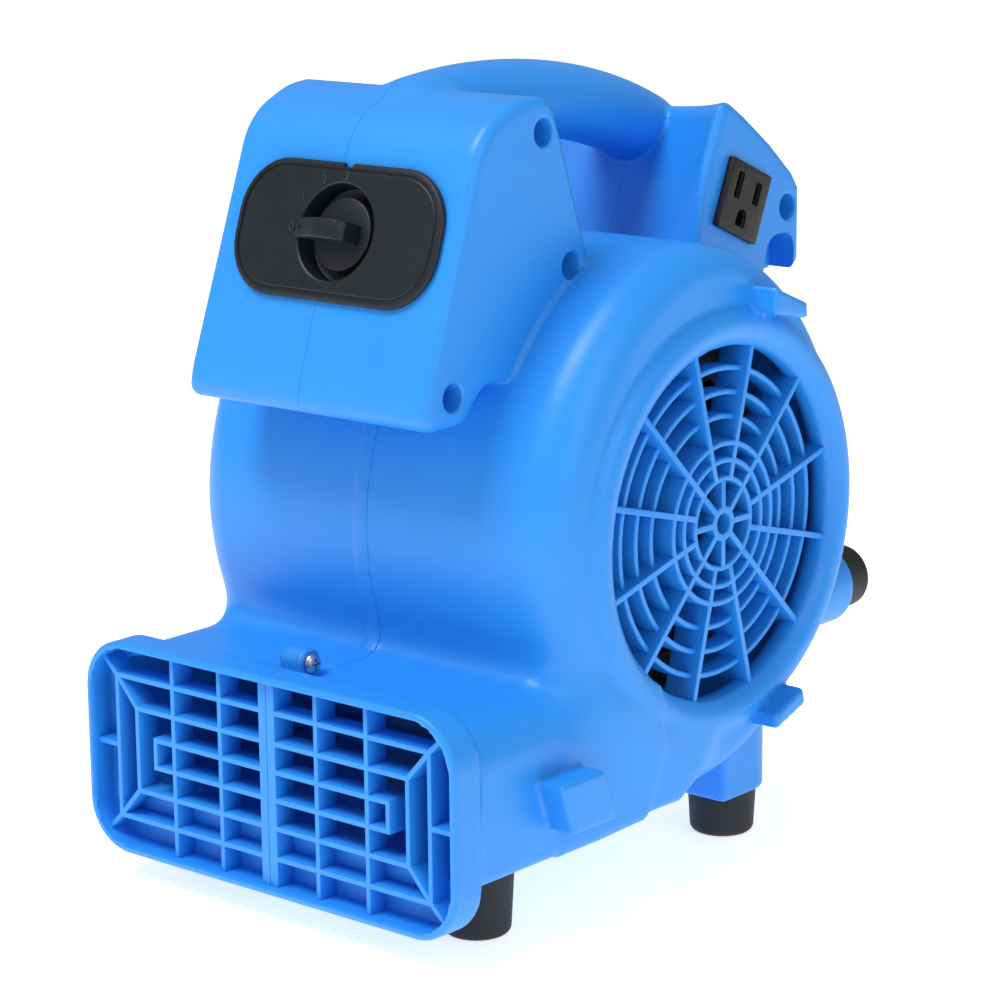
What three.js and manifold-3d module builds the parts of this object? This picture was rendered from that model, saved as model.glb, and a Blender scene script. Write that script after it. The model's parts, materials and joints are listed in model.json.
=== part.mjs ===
// A small centrifugal air mover: two moulded half housings round a scroll, with a grille over each intake
// and over the outlet, a switch box, a carrying handle and a box for a mains outlet on top, and a motor that
// turns a squirrel-cage fan. Millimetres. X runs across the machine, Y from the outlet to the back, Z up.

import * as THREE from 'three';
import { mergeVertices } from 'three/addons/utils/BufferGeometryUtils.js';
import Module from 'manifold-3d';

const wasm = await Module();
wasm.setup();

// ---------------------------------------------------------------- driving dimensions

// The machine's own planes: Y 0 is the outlet rim, Z 0 the floor, X 0 the seam between the halves.
const WALL = 3;
const SEAM = 0.15;
const GAP = 0.3;
const SIDE_X = 92;
const REAR_Y = 264;

const COLLAR = { halfWidth: 93.2, bottom: 11.5, top: 95, depth: 14.8, corner: 20 };
const DUCT = {
  bottom: 30, top: 90, end: 100, corner: 20, floor: [[60, 30], [84, 30], [131, 33.8], [150, 60], [60, 70]],
};
const DRUM = { y: 146.4, z: 138.4, halfLength: 89.8, halfHeight: 103.8, power: 1.9, edge: 10 };

const INTAKE = { y: 157, z: 135.8, radius: 68, bezel: 81, proud: 4 };
const SPOKES = { main: 12, inner: 8, thick: 2.4, front: 92, back: 78 };
const RINGS = [
  { radius: 17.3, front: 92, back: 84, sides: 12 },
  { radius: 24.2, front: 92, back: 84, sides: 12 },
  { radius: 30.7, front: 92, back: 76, sides: 12 },
  { radius: 40.4, front: 89, back: 80, sides: 24 },
  { radius: 49.6, front: 89, back: 80, sides: 24 },
  { radius: 58.8, front: 89, back: 80, sides: 24 },
];

const BARS = { front: 3, back: 13, thick: 2, middle: 53.2, steps: [5.4, 16.2, 27.8], columns: [24.4, 49] };
const NESTS = [
  { halfWidth: 59, halfHeight: 5.4 },
  { halfWidth: 68.5, halfHeight: 16.2 },
  { halfWidth: 78.9, halfHeight: 27.8 },
];

// The two boxes on top, as [y, z] outlines. The switch box's sloping front runs between FRONT_LOW and
// FRONT_HIGH, and its left side stands further out than its right side.
const BOX_X = 57;
const SWITCH_BOX_LEFT = 60.5;
const FRONT_LOW = [29, 197];
const FRONT_HIGH = [58.5, 284];
const SWITCH_BOX = [
  [30, 187], [34, 186], [51, 186.5], [56, 193], [63, 199], [81, 198], [110, 216], [119.5, 226],
  [122, 232], [103.5, 286], [98, 299.5], [82, 299.5], [66, 292], FRONT_HIGH, FRONT_LOW, [28, 190],
];
const OUTLET_BOX = [
  [194, 289.5], [205, 288.5], [217, 281], [234, 269], [249.5, 256], [253.8, 250], [253.8, 221], [249, 217],
  [200, 217], [184, 228], [190, 270],
];
// Its top is higher in the middle, where the handle runs into it.
const CROWN = {
  halfWidth: 36, outline: [[200, 280], [205, 288.5], [226, 287.5], [233, 281], [249, 256], [200, 256]],
};
const SCOOP = { radius: 80, y: 207, z: 247, lean: 0.42 };
const HANDLE = { height: 29.6, width: 35, path: [[91, 289.4], [121.6, 294.4], [177.3, 293.5], [221.7, 273]] };

const FACE_Z = 250.7;
const FACE_SLOPE = (FRONT_HIGH[0] - FRONT_LOW[0]) / (FRONT_HIGH[1] - FRONT_LOW[1]);
const FACE_Y = FRONT_LOW[0] + (FACE_Z - FRONT_LOW[1]) * FACE_SLOPE;
const FACE = { y: FACE_Y, z: FACE_Z, tilt: Math.atan(FACE_SLOPE) };
const PLATE = { halfWidth: 49.8, halfHeight: 25.6, corner: 21, proud: 2.6 };
const WELL = { radius: 17.8, wall: 1.6, depth: 6.5 };
const KNOB = { radius: 13.8, disc: 4.6, barWidth: 7.4, barTop: 11 };

const RECEPTACLE = {
  y: 213.4, z: 249, turn: -0.41, width: 27.2, height: 27.8, proud: 2.8, flange: 4.8, depth: 9, step: 3.5,
};

const FOOT = { topRadius: 15, bottomRadius: 12.4, edge: 3, height: 29.7 };
const FEET_FRONT = { x: 64.5, y: 44.3 };
const FEET_REAR = { x: 65.2, y: 193, boss: 16, front: 172.7, rim: 19 };
const FEET_BACK = { x: 74.5, z: 92, boss: 16.2, rim: 247 };

// The wires from the switch to the outlet run inside the handle.
const LOOM = {
  radius: 2.2,
  route: [
    [6, 86, 264], [4, 95, 272.5], [3, 100.5, 277.5], [2, 106.5, 284], [1, 114, 287], [0, 156, 289],
    [0, 204, 281], [3, 217, 274], [10, 223, 265], [22, 224, 254],
  ],
};

const FAN = { outer: 71, inner: 57, halfWidth: 60, blades: 24, web: 9 };
const MOTOR = { radius: 40, left: -64, right: -8, shaft: 5, bearing: 11 };
const BRACKET = { x: -70, thick: 2, arms: [60, 120], post: 76.5, postRadius: 4.5 };

// Screw columns, and the pilot holes that the screws cut their threads in.
const COLUMN = { radius: 8.2, bore: 6.2 };
const PILOT = 2.3;

// ---------------------------------------------------------------- materials

const paint = (color, roughness, metalness = 0) => (
  new THREE.MeshStandardMaterial({ color, roughness, metalness }));
const BLUE = paint(0x3f9bf0, 0.45);
const BLACK = paint(0x35393f, 0.5);
const RUBBER = paint(0x24272b, 0.85);
const STEEL = paint(0xb9bcc0, 0.35, 1);
const DARK_STEEL = paint(0x5a5e63, 0.5, 0.8);
const CASE = paint(0x9aa0a6, 0.55, 0.6);
const WHITE = paint(0xd9d9d4, 0.6);

// ---------------------------------------------------------------- solids

const X_AXIS = new THREE.Vector3(1, 0, 0);
const Y_AXIS = new THREE.Vector3(0, 1, 0);
const Z_AXIS = new THREE.Vector3(0, 0, 1);

function solid(geometry) {
  const bare = geometry.clone();
  bare.deleteAttribute('normal');
  bare.deleteAttribute('uv');
  const merged = mergeVertices(bare, 1e-4);
  return new wasm.Manifold(new wasm.Mesh({
    numProp: 3,
    vertProperties: new Float32Array(merged.attributes.position.array),
    triVerts: new Uint32Array(merged.index.array),
  }));
}

function geometryOf(body) {
  const cut = body.getMesh();
  const geometry = new THREE.BufferGeometry();
  geometry.setAttribute('position', new THREE.BufferAttribute(cut.vertProperties, 3));
  geometry.setIndex(new THREE.BufferAttribute(cut.triVerts, 1));
  return geometry;
}

const union = (bodies) => bodies.reduce((all, body) => all.add(body));
const without = (body, cuts) => cuts.reduce((left, cut) => left.subtract(cut), body);

function block(x0, x1, y0, y1, z0, z1) {
  const geometry = new THREE.BoxGeometry(x1 - x0, y1 - y0, z1 - z0);
  return solid(geometry.translate((x0 + x1) / 2, (y0 + y1) / 2, (z0 + z1) / 2));
}

// A cylinder along X, from x0 to x1.
function rod(radius, x0, x1, y, z, sides = 24) {
  const geometry = new THREE.CylinderGeometry(radius, radius, x1 - x0, sides);
  return solid(geometry.rotateZ(-Math.PI / 2).translate((x0 + x1) / 2, y, z));
}

// A cylinder along Z, from z0 to z1.
function post(radius, z0, z1, x, y, sides = 24) {
  const geometry = new THREE.CylinderGeometry(radius, radius, z1 - z0, sides);
  return solid(geometry.rotateX(Math.PI / 2).translate(x, y, (z0 + z1) / 2));
}

// A cylinder along Y, from y0 to y1.
function barrel(radius, y0, y1, x, z, sides = 24) {
  const geometry = new THREE.CylinderGeometry(radius, radius, y1 - y0, sides);
  return solid(geometry.translate(x, (y0 + y1) / 2, z));
}

// A body of revolution about the line along X through (y, z). The profile holds [radius, x] points.
function turned(profile, y, z, sides = 24) {
  const points = profile.map(([radius, x]) => new THREE.Vector2(radius, x));
  const geometry = new THREE.LatheGeometry(points, sides);
  const body = solid(geometry.rotateZ(-Math.PI / 2).translate(0, y, z));
  return body.volume() < 0 ? turned([...profile].reverse(), y, z, sides) : body;
}

const ringBand = (radius, thick, x0, x1, y, z, sides) => turned([
  [radius - thick / 2, x0], [radius + thick / 2, x0], [radius + thick / 2, x1], [radius - thick / 2, x1],
  [radius - thick / 2, x0],
], y, z, sides);

// An outline of [y, z] points, extruded along X from x0 to x1, with its edges cut back by edge.
function sideways(outline, x0, x1, edge = 0) {
  const shape = new THREE.Shape(outline.map(([y, z]) => new THREE.Vector2(y, z)));
  const geometry = new THREE.ExtrudeGeometry(shape, {
    depth: x1 - x0 - 2 * edge,
    bevelEnabled: edge > 0,
    bevelSize: edge,
    bevelThickness: edge,
    bevelOffset: -edge,
    bevelSegments: 1,
  });
  geometry.translate(0, 0, x0 + edge);
  return solid(geometry.applyMatrix4(new THREE.Matrix4().makeBasis(Y_AXIS, Z_AXIS, X_AXIS)));
}

// A rounded rectangle in the X Z plane, extruded along Y from y0 to y1.
function tunnel(halfWidth, bottom, top, corner, y0, y1) {
  const geometry = new THREE.ExtrudeGeometry(roundedRectangle(halfWidth, (top - bottom) / 2, corner), {
    depth: y1 - y0,
    bevelEnabled: false,
    curveSegments: 6,
  });
  geometry.rotateX(Math.PI / 2).translate(0, y1, (top + bottom) / 2);
  return solid(geometry);
}

function roundedRectangle(halfWidth, halfHeight, corner) {
  const shape = new THREE.Shape();
  const x = halfWidth - corner;
  const y = halfHeight - corner;
  shape.absarc(x, y, corner, 0, Math.PI / 2);
  shape.absarc(-x, y, corner, Math.PI / 2, Math.PI);
  shape.absarc(-x, -y, corner, Math.PI, 1.5 * Math.PI);
  shape.absarc(x, -y, corner, 1.5 * Math.PI, 2 * Math.PI);
  shape.closePath();
  return shape;
}

// A polygon outline moved inwards by distance.
function inset(outline, distance) {
  const count = outline.length;
  return outline.map((_, i) => {
    const [before, here, after] = [outline[(i + count - 1) % count], outline[i], outline[(i + 1) % count]];
    const first = inwards(before, here);
    const second = inwards(here, after);
    const reach = distance / (1 + first[0] * second[0] + first[1] * second[1]);
    return [here[0] + (first[0] + second[0]) * reach, here[1] + (first[1] + second[1]) * reach];
  });
}

function inwards([y0, z0], [y1, z1]) {
  const length = Math.hypot(y1 - y0, z1 - z0);
  return [-(z1 - z0) / length, (y1 - y0) / length];
}

const counterClockwise = (outline) => (THREE.ShapeUtils.area(outline.map(([x, y]) => ({ x, y }))) > 0
  ? outline : [...outline].reverse());

// ---------------------------------------------------------------- the housing's outside and inside

// The scroll's outline in the side plane: a squarish oval, higher than it is long.
function drumOutline(shrink, count = 40) {
  const points = [];
  for (let i = 0; i < count; i += 1) {
    const angle = (2 * Math.PI * i) / count;
    const [c, s] = [Math.cos(angle), Math.sin(angle)];
    const swell = (Math.abs(c) ** DRUM.power + Math.abs(s) ** DRUM.power) ** (-1 / DRUM.power);
    points.push([
      DRUM.y + (DRUM.halfLength - shrink) * swell * c,
      DRUM.z + (DRUM.halfHeight - shrink) * swell * s,
    ]);
  }
  return points;
}

function handleTube(shrink) {
  const curve = new THREE.CubicBezierCurve3(...HANDLE.path.map(([y, z]) => new THREE.Vector3(0, y, z)));
  const section = new THREE.Shape();
  section.absellipse(0, 0, HANDLE.width / 2 - shrink, HANDLE.height / 2 - shrink, 0, 2 * Math.PI);
  return solid(new THREE.ExtrudeGeometry(section, { steps: 10, curveSegments: 8, extrudePath: curve }));
}

// The finger scoop in the front of the outlet box: a leaning cylinder.
function scoop(grow) {
  const geometry = new THREE.CylinderGeometry(SCOOP.radius + grow, SCOOP.radius + grow, 140, 40);
  geometry.rotateX(Math.PI / 2 - SCOOP.lean);
  return solid(geometry.translate(0, SCOOP.y - SCOOP.radius / Math.cos(SCOOP.lean), SCOOP.z));
}

const TABS = [
  [[45.3, 62.8], [69.8, 62.8], [77.7, 42.8], [52.7, 42.8]],
  [[175.8, 58], [193.5, 65.5], [194.8, 58.8], [175, 52.2]],
  [[173, 224.6], [193, 216.4], [193.6, 210.2], [172.6, 214.5]],
];

function tab(corners, sign) {
  const reach = [Math.min(sign * 80, sign * 104), Math.max(sign * 80, sign * 104)];
  return sideways(counterClockwise(corners), ...reach);
}

function footBosses(sign) {
  const rear = FEET_REAR;
  const back = FEET_BACK;
  return [
    block(sign * rear.x - rear.boss, sign * rear.x + rear.boss, rear.front, rear.y, rear.rim, 70),
    post(rear.boss, rear.rim, 75, sign * rear.x, rear.y, 20),
    barrel(back.boss, 205, back.rim, sign * back.x, back.z, 20),
    block(sign * back.x - 15, sign * back.x + 15, 205, back.rim, back.z - 8, back.z + 8),
  ];
}

// The duct has round corners above and square ones below, and its floor sweeps up into the scroll.
function ductTunnel(shrink, start) {
  const [halfWidth, bottom, top] = [SIDE_X - shrink, DUCT.bottom + shrink, DUCT.top - shrink];
  const floor = sideways(DUCT.floor.map(([y, z]) => [y, z + shrink]), -halfWidth, halfWidth);
  return union([
    tunnel(halfWidth, bottom, top, DUCT.corner - shrink, start, DUCT.end),
    block(-halfWidth, halfWidth, start, DUCT.end, bottom, bottom + DUCT.corner),
    floor,
  ]);
}

function outside() {
  const bothSides = [1, -1].flatMap((sign) => [
    ...TABS.map((corners) => tab(corners, sign)),
    ...footBosses(sign),
    turned(bezelProfile(sign), INTAKE.y, INTAKE.z, 36),
  ]);
  const crown = sideways(counterClockwise(CROWN.outline), -CROWN.halfWidth, CROWN.halfWidth, 3);
  const outletBox = sideways(counterClockwise(OUTLET_BOX), -BOX_X, BOX_X, 3).add(crown).subtract(scoop(0));
  return union([
    sideways(drumOutline(0), -SIDE_X, SIDE_X, DRUM.edge),
    ductTunnel(0, 5),
    tunnel(COLLAR.halfWidth, COLLAR.bottom, COLLAR.top, COLLAR.corner, 0, COLLAR.depth),
    sideways(counterClockwise(SWITCH_BOX), -SWITCH_BOX_LEFT, BOX_X, 3),
    outletBox,
    handleTube(0),
    ...bothSides,
  ]);
}

function bezelProfile(sign) {
  const { radius, bezel, proud } = INTAKE;
  return [
    [radius, 84], [radius, 89], [radius + 6, SIDE_X + proud], [bezel, SIDE_X], [bezel - 3, 86], [radius, 84],
  ].map(([r, x]) => [r, sign * x]);
}

function inside() {
  return union([
    sideways(drumOutline(WALL), -SIDE_X + WALL, SIDE_X - WALL, DRUM.edge),
    ductTunnel(WALL, 8),
    tunnel(COLLAR.halfWidth - WALL, COLLAR.bottom + WALL, COLLAR.top - WALL, COLLAR.corner - WALL, -5,
      COLLAR.depth - WALL),
  ]);
}

// The boxes and the handle are one hollow for the wiring, closed off from the air path.
function wiringSpace() {
  const switchSpace = sideways(inset(counterClockwise(SWITCH_BOX), WALL), -BOX_X + WALL, BOX_X - WALL);
  const outletSpace = sideways(inset(counterClockwise(OUTLET_BOX), WALL), -BOX_X + WALL, BOX_X - WALL);
  return union([switchSpace, outletSpace.subtract(scoop(WALL)), handleTube(WALL)])
    .subtract(sideways(drumOutline(0), -SIDE_X, SIDE_X));
}

// ---------------------------------------------------------------- grilles, posts and holes of one half

function intakeGrille(sign) {
  const span = (front, back) => [Math.min(sign * front, sign * back), Math.max(sign * front, sign * back)];
  const rings = RINGS.map(({ radius, front, back, sides }) => (
    ringBand(radius, 2.2, ...span(front, back), INTAKE.y, INTAKE.z, sides)));
  rings.push(ringBand(5.4, 2.8, ...span(92, 84), INTAKE.y, INTAKE.z, 8));
  const blade = (from, to, depth, angle) => {
    const [x0, x1] = span(SPOKES.front, depth);
    const geometry = new THREE.BoxGeometry(x1 - x0, SPOKES.thick, to - from);
    geometry.translate((x0 + x1) / 2, 0, (from + to) / 2);
    return solid(geometry.rotateX(angle).translate(0, INTAKE.y, INTAKE.z));
  };
  const spokes = [];
  for (let i = 0; i < SPOKES.main; i += 1) {
    const angle = THREE.MathUtils.degToRad(15 + (360 / SPOKES.main) * i);
    spokes.push(blade(17.3, INTAKE.radius + 2, SPOKES.back, angle));
  }
  for (let i = 0; i < SPOKES.inner; i += 1) {
    spokes.push(blade(5.6, 17.3, 86, (2 * Math.PI * i) / SPOKES.inner));
  }
  return union([...rings, ...spokes]);
}

function outletGrille(sign) {
  const { front, back, thick, middle, steps, columns } = BARS;
  const bars = [block(Math.min(0, sign * 4), Math.max(0, sign * 4), front, back, 13, 93)];
  for (const x of columns) {
    bars.push(block(sign * x - thick / 2, sign * x + thick / 2, front, back, 13, 93));
  }
  const row = (x0, x1, z) => {
    const span = [Math.min(sign * x0, sign * x1), Math.max(sign * x0, sign * x1)];
    return block(...span, front, back, z - thick / 2, z + thick / 2);
  };
  NESTS.forEach(({ halfWidth, halfHeight }, i) => {
    bars.push(row(0, halfWidth, middle + steps[i]), row(0, halfWidth, middle - steps[i]));
    bars.push(block(sign * halfWidth - thick / 2, sign * halfWidth + thick / 2, front, back,
      middle - halfHeight - thick / 2, middle + halfHeight + thick / 2));
  });
  bars.push(row(NESTS[2].halfWidth, COLLAR.halfWidth - 2, middle));
  const rim = { halfWidth: COLLAR.halfWidth - 7.5, halfHeight: (COLLAR.top - COLLAR.bottom) / 2 - 7.5 };
  for (const up of [1, -1]) {
    bars.push(diagonal(rim, NESTS[2], sign, up), diagonal(NESTS[2], NESTS[1], sign, up));
  }
  return union(bars);
}

function diagonal(outer, inner, sign, up) {
  const [dx, dz] = [outer.halfWidth - inner.halfWidth, outer.halfHeight - inner.halfHeight];
  const { front, back, thick, middle } = BARS;
  const geometry = new THREE.BoxGeometry(Math.hypot(dx, dz), back - front, thick);
  geometry.rotateY(-Math.atan2(up * dz, sign * dx));
  const x = sign * (outer.halfWidth + inner.halfWidth) / 2;
  const z = middle + up * (outer.halfHeight + inner.halfHeight) / 2;
  return solid(geometry.translate(x, (front + back) / 2, z));
}

// The screws that draw the two halves together. head is the X of the seat under the head.
const HOUSING_SCREWS = [
  { name: 'switch_box_top', y: 94.5, z: 286.5, head: 8 },
  { name: 'switch_box_rear', y: 110, z: 236.5, head: 8 },
  { name: 'switch_box_bottom', y: 43.5, z: 197.5, head: 8 },
  { name: 'outlet_box', y: 245.5, z: 243, head: 8 },
];
const LUG_SCREWS = [
  { name: 'collar_top', y: 25, z: 94.8, head: 2, root: 87 },
  { name: 'collar_bottom', y: 25, z: 24, head: 2, root: 32 },
];

const lug = ({ y, z, root }, x0, x1) => union([
  rod(5.5, x0, x1, y, z, 12),
  block(x0, x1, y - 5.5, y + 5.5, Math.min(z, root), Math.max(z, root)),
]);

const MOTOR_POSTS = BRACKET.arms.flatMap((degrees) => [degrees, degrees + 180]).map((degrees) => {
  const angle = THREE.MathUtils.degToRad(degrees);
  return { y: INTAKE.y + BRACKET.post * Math.cos(angle), z: INTAKE.z + BRACKET.post * Math.sin(angle) };
});

// Each foot's base plane, with the way that it points: down for the four that the machine stands on, back for
// the two that it rests on when it blows upwards.
const FEET = [1, -1].flatMap((sign) => {
  const side = sign > 0 ? 'right' : 'left';
  return [
    { name: `foot_front_${side}`, x: sign * FEET_FRONT.x, y: FEET_FRONT.y, z: FOOT.height, back: false },
    { name: `foot_rear_${side}`, x: sign * FEET_REAR.x, y: FEET_REAR.y, z: FOOT.height, back: false },
    { name: `foot_back_${side}`, x: sign * FEET_BACK.x, y: REAR_Y - FOOT.height, z: FEET_BACK.z, back: true },
  ];
});

// A wire or a bundle of wires of one radius along [x, y, z] points.
function lead(points, radius, steps) {
  const curve = new THREE.CatmullRomCurve3(points.map(([x, y, z]) => new THREE.Vector3(x, y, z)));
  const section = new THREE.Shape();
  section.absarc(0, 0, radius, 0, 2 * Math.PI);
  return solid(new THREE.ExtrudeGeometry(section, { steps, curveSegments: 4, extrudePath: curve }));
}

// Sets a body that points down from its origin at a foot's place.
function atFoot(body, foot) {
  const turnedBody = foot.back ? body.rotate([90, 0, 0]) : body;
  return turnedBody.translate([foot.x, foot.y, foot.z]);
}

const footSocket = (foot) => atFoot(post(FOOT.topRadius + GAP, -20, GAP, 0, 0, 20), foot);
const footPilot = (foot) => atFoot(post(PILOT, -5, 15, 0, 0, 8), foot);
const footPost = (foot) => atFoot(post(6, 1, 17.5, 0, 0, 12), foot);

function faceGroup() {
  const group = new THREE.Group();
  group.position.set(0, FACE.y, FACE.z);
  group.rotation.x = Math.PI / 2 - FACE.tilt;
  return group;
}

// Turns a body modelled on the switch box's face, with Z out of the face, into the machine's frame.
const onFace = (body) => body
  .rotate([90 - THREE.MathUtils.radToDeg(FACE.tilt), 0, 0])
  .translate([0, FACE.y, FACE.z]);

function receptacleBlock(grow, x0, x1) {
  const { width, height, turn, y, z } = RECEPTACLE;
  const geometry = new THREE.BoxGeometry(x1 - x0, width + 2 * grow, height + 2 * grow);
  return solid(geometry.rotateX(turn).translate((x0 + x1) / 2, y, z));
}

// The outlet's flange and the smaller body behind it.
function receptacleBlocks(grow) {
  const { proud, flange, depth, step } = RECEPTACLE;
  const back = BOX_X + proud - flange;
  return [
    receptacleBlock(grow, back - grow, BOX_X + proud),
    receptacleBlock(grow - step, back - depth - grow, back),
  ];
}

const GLAND = { x: -30, z: 236, radius: 8, hole: 4 };

const outer = outside();
const airPath = inside();
const wiring = wiringSpace();

function housingHalf(sign) {
  const right = sign > 0;
  const reach = (near, far) => [Math.min(sign * near, sign * far), Math.max(sign * near, sign * far)];
  const feet = FEET.filter(({ x }) => x * sign > 0);
  let half = without(outer, [
    airPath,
    wiring,
    rod(INTAKE.radius, ...reach(80, 110), INTAKE.y, INTAKE.z, 36),
    onFace(post(WELL.radius + WELL.wall + GAP, -12, 5, 0, 0, 32)),
  ]);
  half = union([half, intakeGrille(sign), outletGrille(sign)]);
  for (const screw of HOUSING_SCREWS) {
    const column = rod(COLUMN.radius, ...reach(0, BOX_X), screw.y, screw.z, 14);
    half = half.add(column);
    half = right
      ? without(half, [
        rod(COLUMN.bore, screw.head, BOX_X + 1, screw.y, screw.z, 16),
        rod(PILOT, -1, 20, screw.y, screw.z, 8),
      ])
      : half.subtract(rod(PILOT, -18, 1, screw.y, screw.z, 8));
  }
  for (const screw of LUG_SCREWS) {
    half = half.add(lug(screw, ...reach(0, right ? screw.head : 9)));
    half = half.subtract(rod(PILOT, -20, 8, screw.y, screw.z, 8));
  }
  for (const foot of feet) {
    half = without(half.add(footPost(foot)), [footSocket(foot), footPilot(foot)]);
  }
  if (right) {
    half = without(half, receptacleBlocks(GAP));
  } else {
    for (const { y, z } of MOTOR_POSTS) {
      half = half.add(rod(BRACKET.postRadius, -SIDE_X + 1, BRACKET.x - BRACKET.thick / 2 - GAP, y, z, 10));
      half = half.subtract(rod(PILOT, -85, -60, y, z, 8));
    }
    half = half.subtract(barrel(GLAND.radius + GAP, 244, 264, GLAND.x, GLAND.z));
  }
  const channel = lead(LOOM.route, LOOM.radius + 2 * GAP, 20);
  return half.subtract(channel).intersect(block(...reach(SEAM, 130), -50, 320, -10, 330));
}

// ---------------------------------------------------------------- the other pieces

// A pan-head screw with its head's seat at the origin and its shank along -X.
function screwBody(shank, headRadius = 3.8, headHeight = 2.4) {
  return turned([
    [0, -shank], [2, -shank + 2], [2, 0], [headRadius, 0], [headRadius, headHeight * 0.6],
    [headRadius * 0.6, headHeight], [0, headHeight],
  ], 0, 0, 8);
}

// How far below the foot's base its screw's head sits.
const SCREW_SEAT = -10;

// Points down from its base at the origin, with a counterbored hole for its screw.
function footBody() {
  const { topRadius, bottomRadius, edge, height } = FOOT;
  const profile = [
    [topRadius, 0], [bottomRadius + 0.4, -height + edge], [bottomRadius - edge, -height], [6, -height],
    [6, SCREW_SEAT], [2.4, SCREW_SEAT], [2.4, 0], [topRadius, 0],
  ];
  const geometry = new THREE.LatheGeometry(profile.map(([r, z]) => new THREE.Vector2(r, z)).reverse(), 20);
  return solid(geometry.rotateX(Math.PI / 2));
}

function switchPlate() {
  const shape = roundedRectangle(PLATE.halfWidth, PLATE.halfHeight, PLATE.corner);
  const flange = new THREE.ExtrudeGeometry(shape, {
    depth: PLATE.proud - 1.2,
    bevelThickness: 0.6,
    bevelSize: 0.8,
    bevelOffset: -0.8,
    bevelSegments: 1,
    curveSegments: 6,
  });
  const body = solid(flange.translate(0, 0, GAP + 0.6));
  const cup = post(WELL.radius + WELL.wall, -WELL.depth - 1.8, PLATE.proud - 0.5, 0, 0, 32);
  return without(body.add(cup), [
    post(WELL.radius, -WELL.depth, 10, 0, 0, 32),
    post(5, -20, 10, 0, 0, 16),
  ]);
}

function knob() {
  const disc = post(KNOB.radius, -WELL.depth + 0.8, -WELL.depth + 0.8 + KNOB.disc, 0, 0, 32);
  const outline = [
    [-KNOB.radius + 2, -3], [13, -3], [13, 8], [8.5, KNOB.barTop], [1, KNOB.barTop], [-14, PLATE.proud + 4.4],
    [-21.5, PLATE.proud + 3.2], [-21.5, PLATE.proud + 0.8], [-KNOB.radius + 2, PLATE.proud + 0.8],
  ];
  const shape = new THREE.Shape(outline.map(([x, y]) => new THREE.Vector2(x, y)));
  const bar = new THREE.ExtrudeGeometry(shape, { depth: KNOB.barWidth, bevelEnabled: false });
  bar.rotateX(Math.PI / 2).translate(0, KNOB.barWidth / 2, 0);
  return disc.add(solid(bar)).subtract(post(3.3, -10, 2, 0, 0, 12));
}

function receptacle() {
  const { y, z, turn } = RECEPTACLE;
  const slot = (across, up, width, height) => {
    const geometry = new THREE.BoxGeometry(20, width, height).translate(BOX_X, across, up);
    return solid(geometry.rotateX(turn).translate(0, y, z));
  };
  const ground = new THREE.CylinderGeometry(2.5, 2.5, 20, 16).rotateZ(Math.PI / 2).translate(BOX_X, 0, -6.5);
  return without(union(receptacleBlocks(0)), [
    slot(-6.35, 4.6, 2, 9),
    slot(6.35, 4.6, 2, 7.4),
    solid(ground.rotateX(turn).translate(0, y, z)),
    slot(0, -8, 5, 3),
  ]);
}

function fanWheel() {
  const { outer: rim, inner, halfWidth, blades, web } = FAN;
  const cage = [];
  for (let i = 0; i < blades; i += 1) {
    const blade = new THREE.BoxGeometry(2 * halfWidth - 2, 1.2, rim - inner + 3).rotateX(-0.6);
    blade.translate(0, 0, (rim + inner) / 2).rotateX((2 * Math.PI * i) / blades);
    cage.push(solid(blade));
  }
  const centre = (rim + inner) / 2 + 0.5;
  const width = rim - inner - 1;
  const wheel = union([
    ...cage,
    ringBand(centre, width, -halfWidth, -halfWidth + 2.6, 0, 0, 24),
    ringBand(centre, width, halfWidth - 2.6, halfWidth, 0, 0, 24),
    rod(inner + 3, web - 1.5, web + 1.5, 0, 0, 24),
    rod(14, web - 12, web + 12, 0, 0, 16),
  ]);
  return wheel.subtract(rod(MOTOR.shaft + GAP / 2, -30, 40, 0, 0, 16)).translate([0, INTAKE.y, INTAKE.z]);
}

// One half of the motor's case, a cup that opens towards the other half. way is 1 for the left half and -1
// for the right one, whose closed end is at the other side.
function endCap(closed, open, way) {
  const cup = (radius, from, to, sides) => (
    rod(radius, Math.min(from, to), Math.max(from, to), INTAKE.y, INTAKE.z, sides));
  const hollow = cup(MOTOR.radius - 2.5, closed + way * 3, open + way, 28);
  const shell = cup(MOTOR.radius, closed, open, 28).subtract(hollow);
  return without(shell.add(cup(14, closed, closed + way * 9, 20)), [
    cup(MOTOR.bearing + GAP / 2, closed + way * 2, closed + way * 20, 20),
    cup(MOTOR.shaft + 1, closed - way * 5, open + way * 5, 12),
  ]);
}

function motorBracket() {
  const { x, thick, post: reach } = BRACKET;
  const [x0, x1] = [x - thick / 2, x + thick / 2];
  const arms = BRACKET.arms.map((degrees) => {
    const geometry = new THREE.BoxGeometry(thick, 2 * (reach + 5), 13);
    geometry.rotateX(THREE.MathUtils.degToRad(degrees));
    return solid(geometry.translate(x, INTAKE.y, INTAKE.z));
  });
  return without(union([rod(34, x0, x1, INTAKE.y, INTAKE.z, 32), ...arms]), [
    rod(14, x0 - 1, x1 + 1, INTAKE.y, INTAKE.z, 24),
    ...MOTOR_POSTS.map(({ y, z }) => rod(2.4, x0 - 1, x1 + 1, y, z, 12)),
  ]);
}

// ---------------------------------------------------------------- the assembly

const machine = new THREE.Group();
machine.position.y = -REAR_Y / 2;

function place(name, body, material, parent = machine) {
  const mesh = new THREE.Mesh(geometryOf(body), material);
  mesh.name = name;
  parent.add(mesh);
  return mesh;
}

place('right_housing', housingHalf(1), BLUE);
place('left_housing', housingHalf(-1), BLUE);

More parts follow.
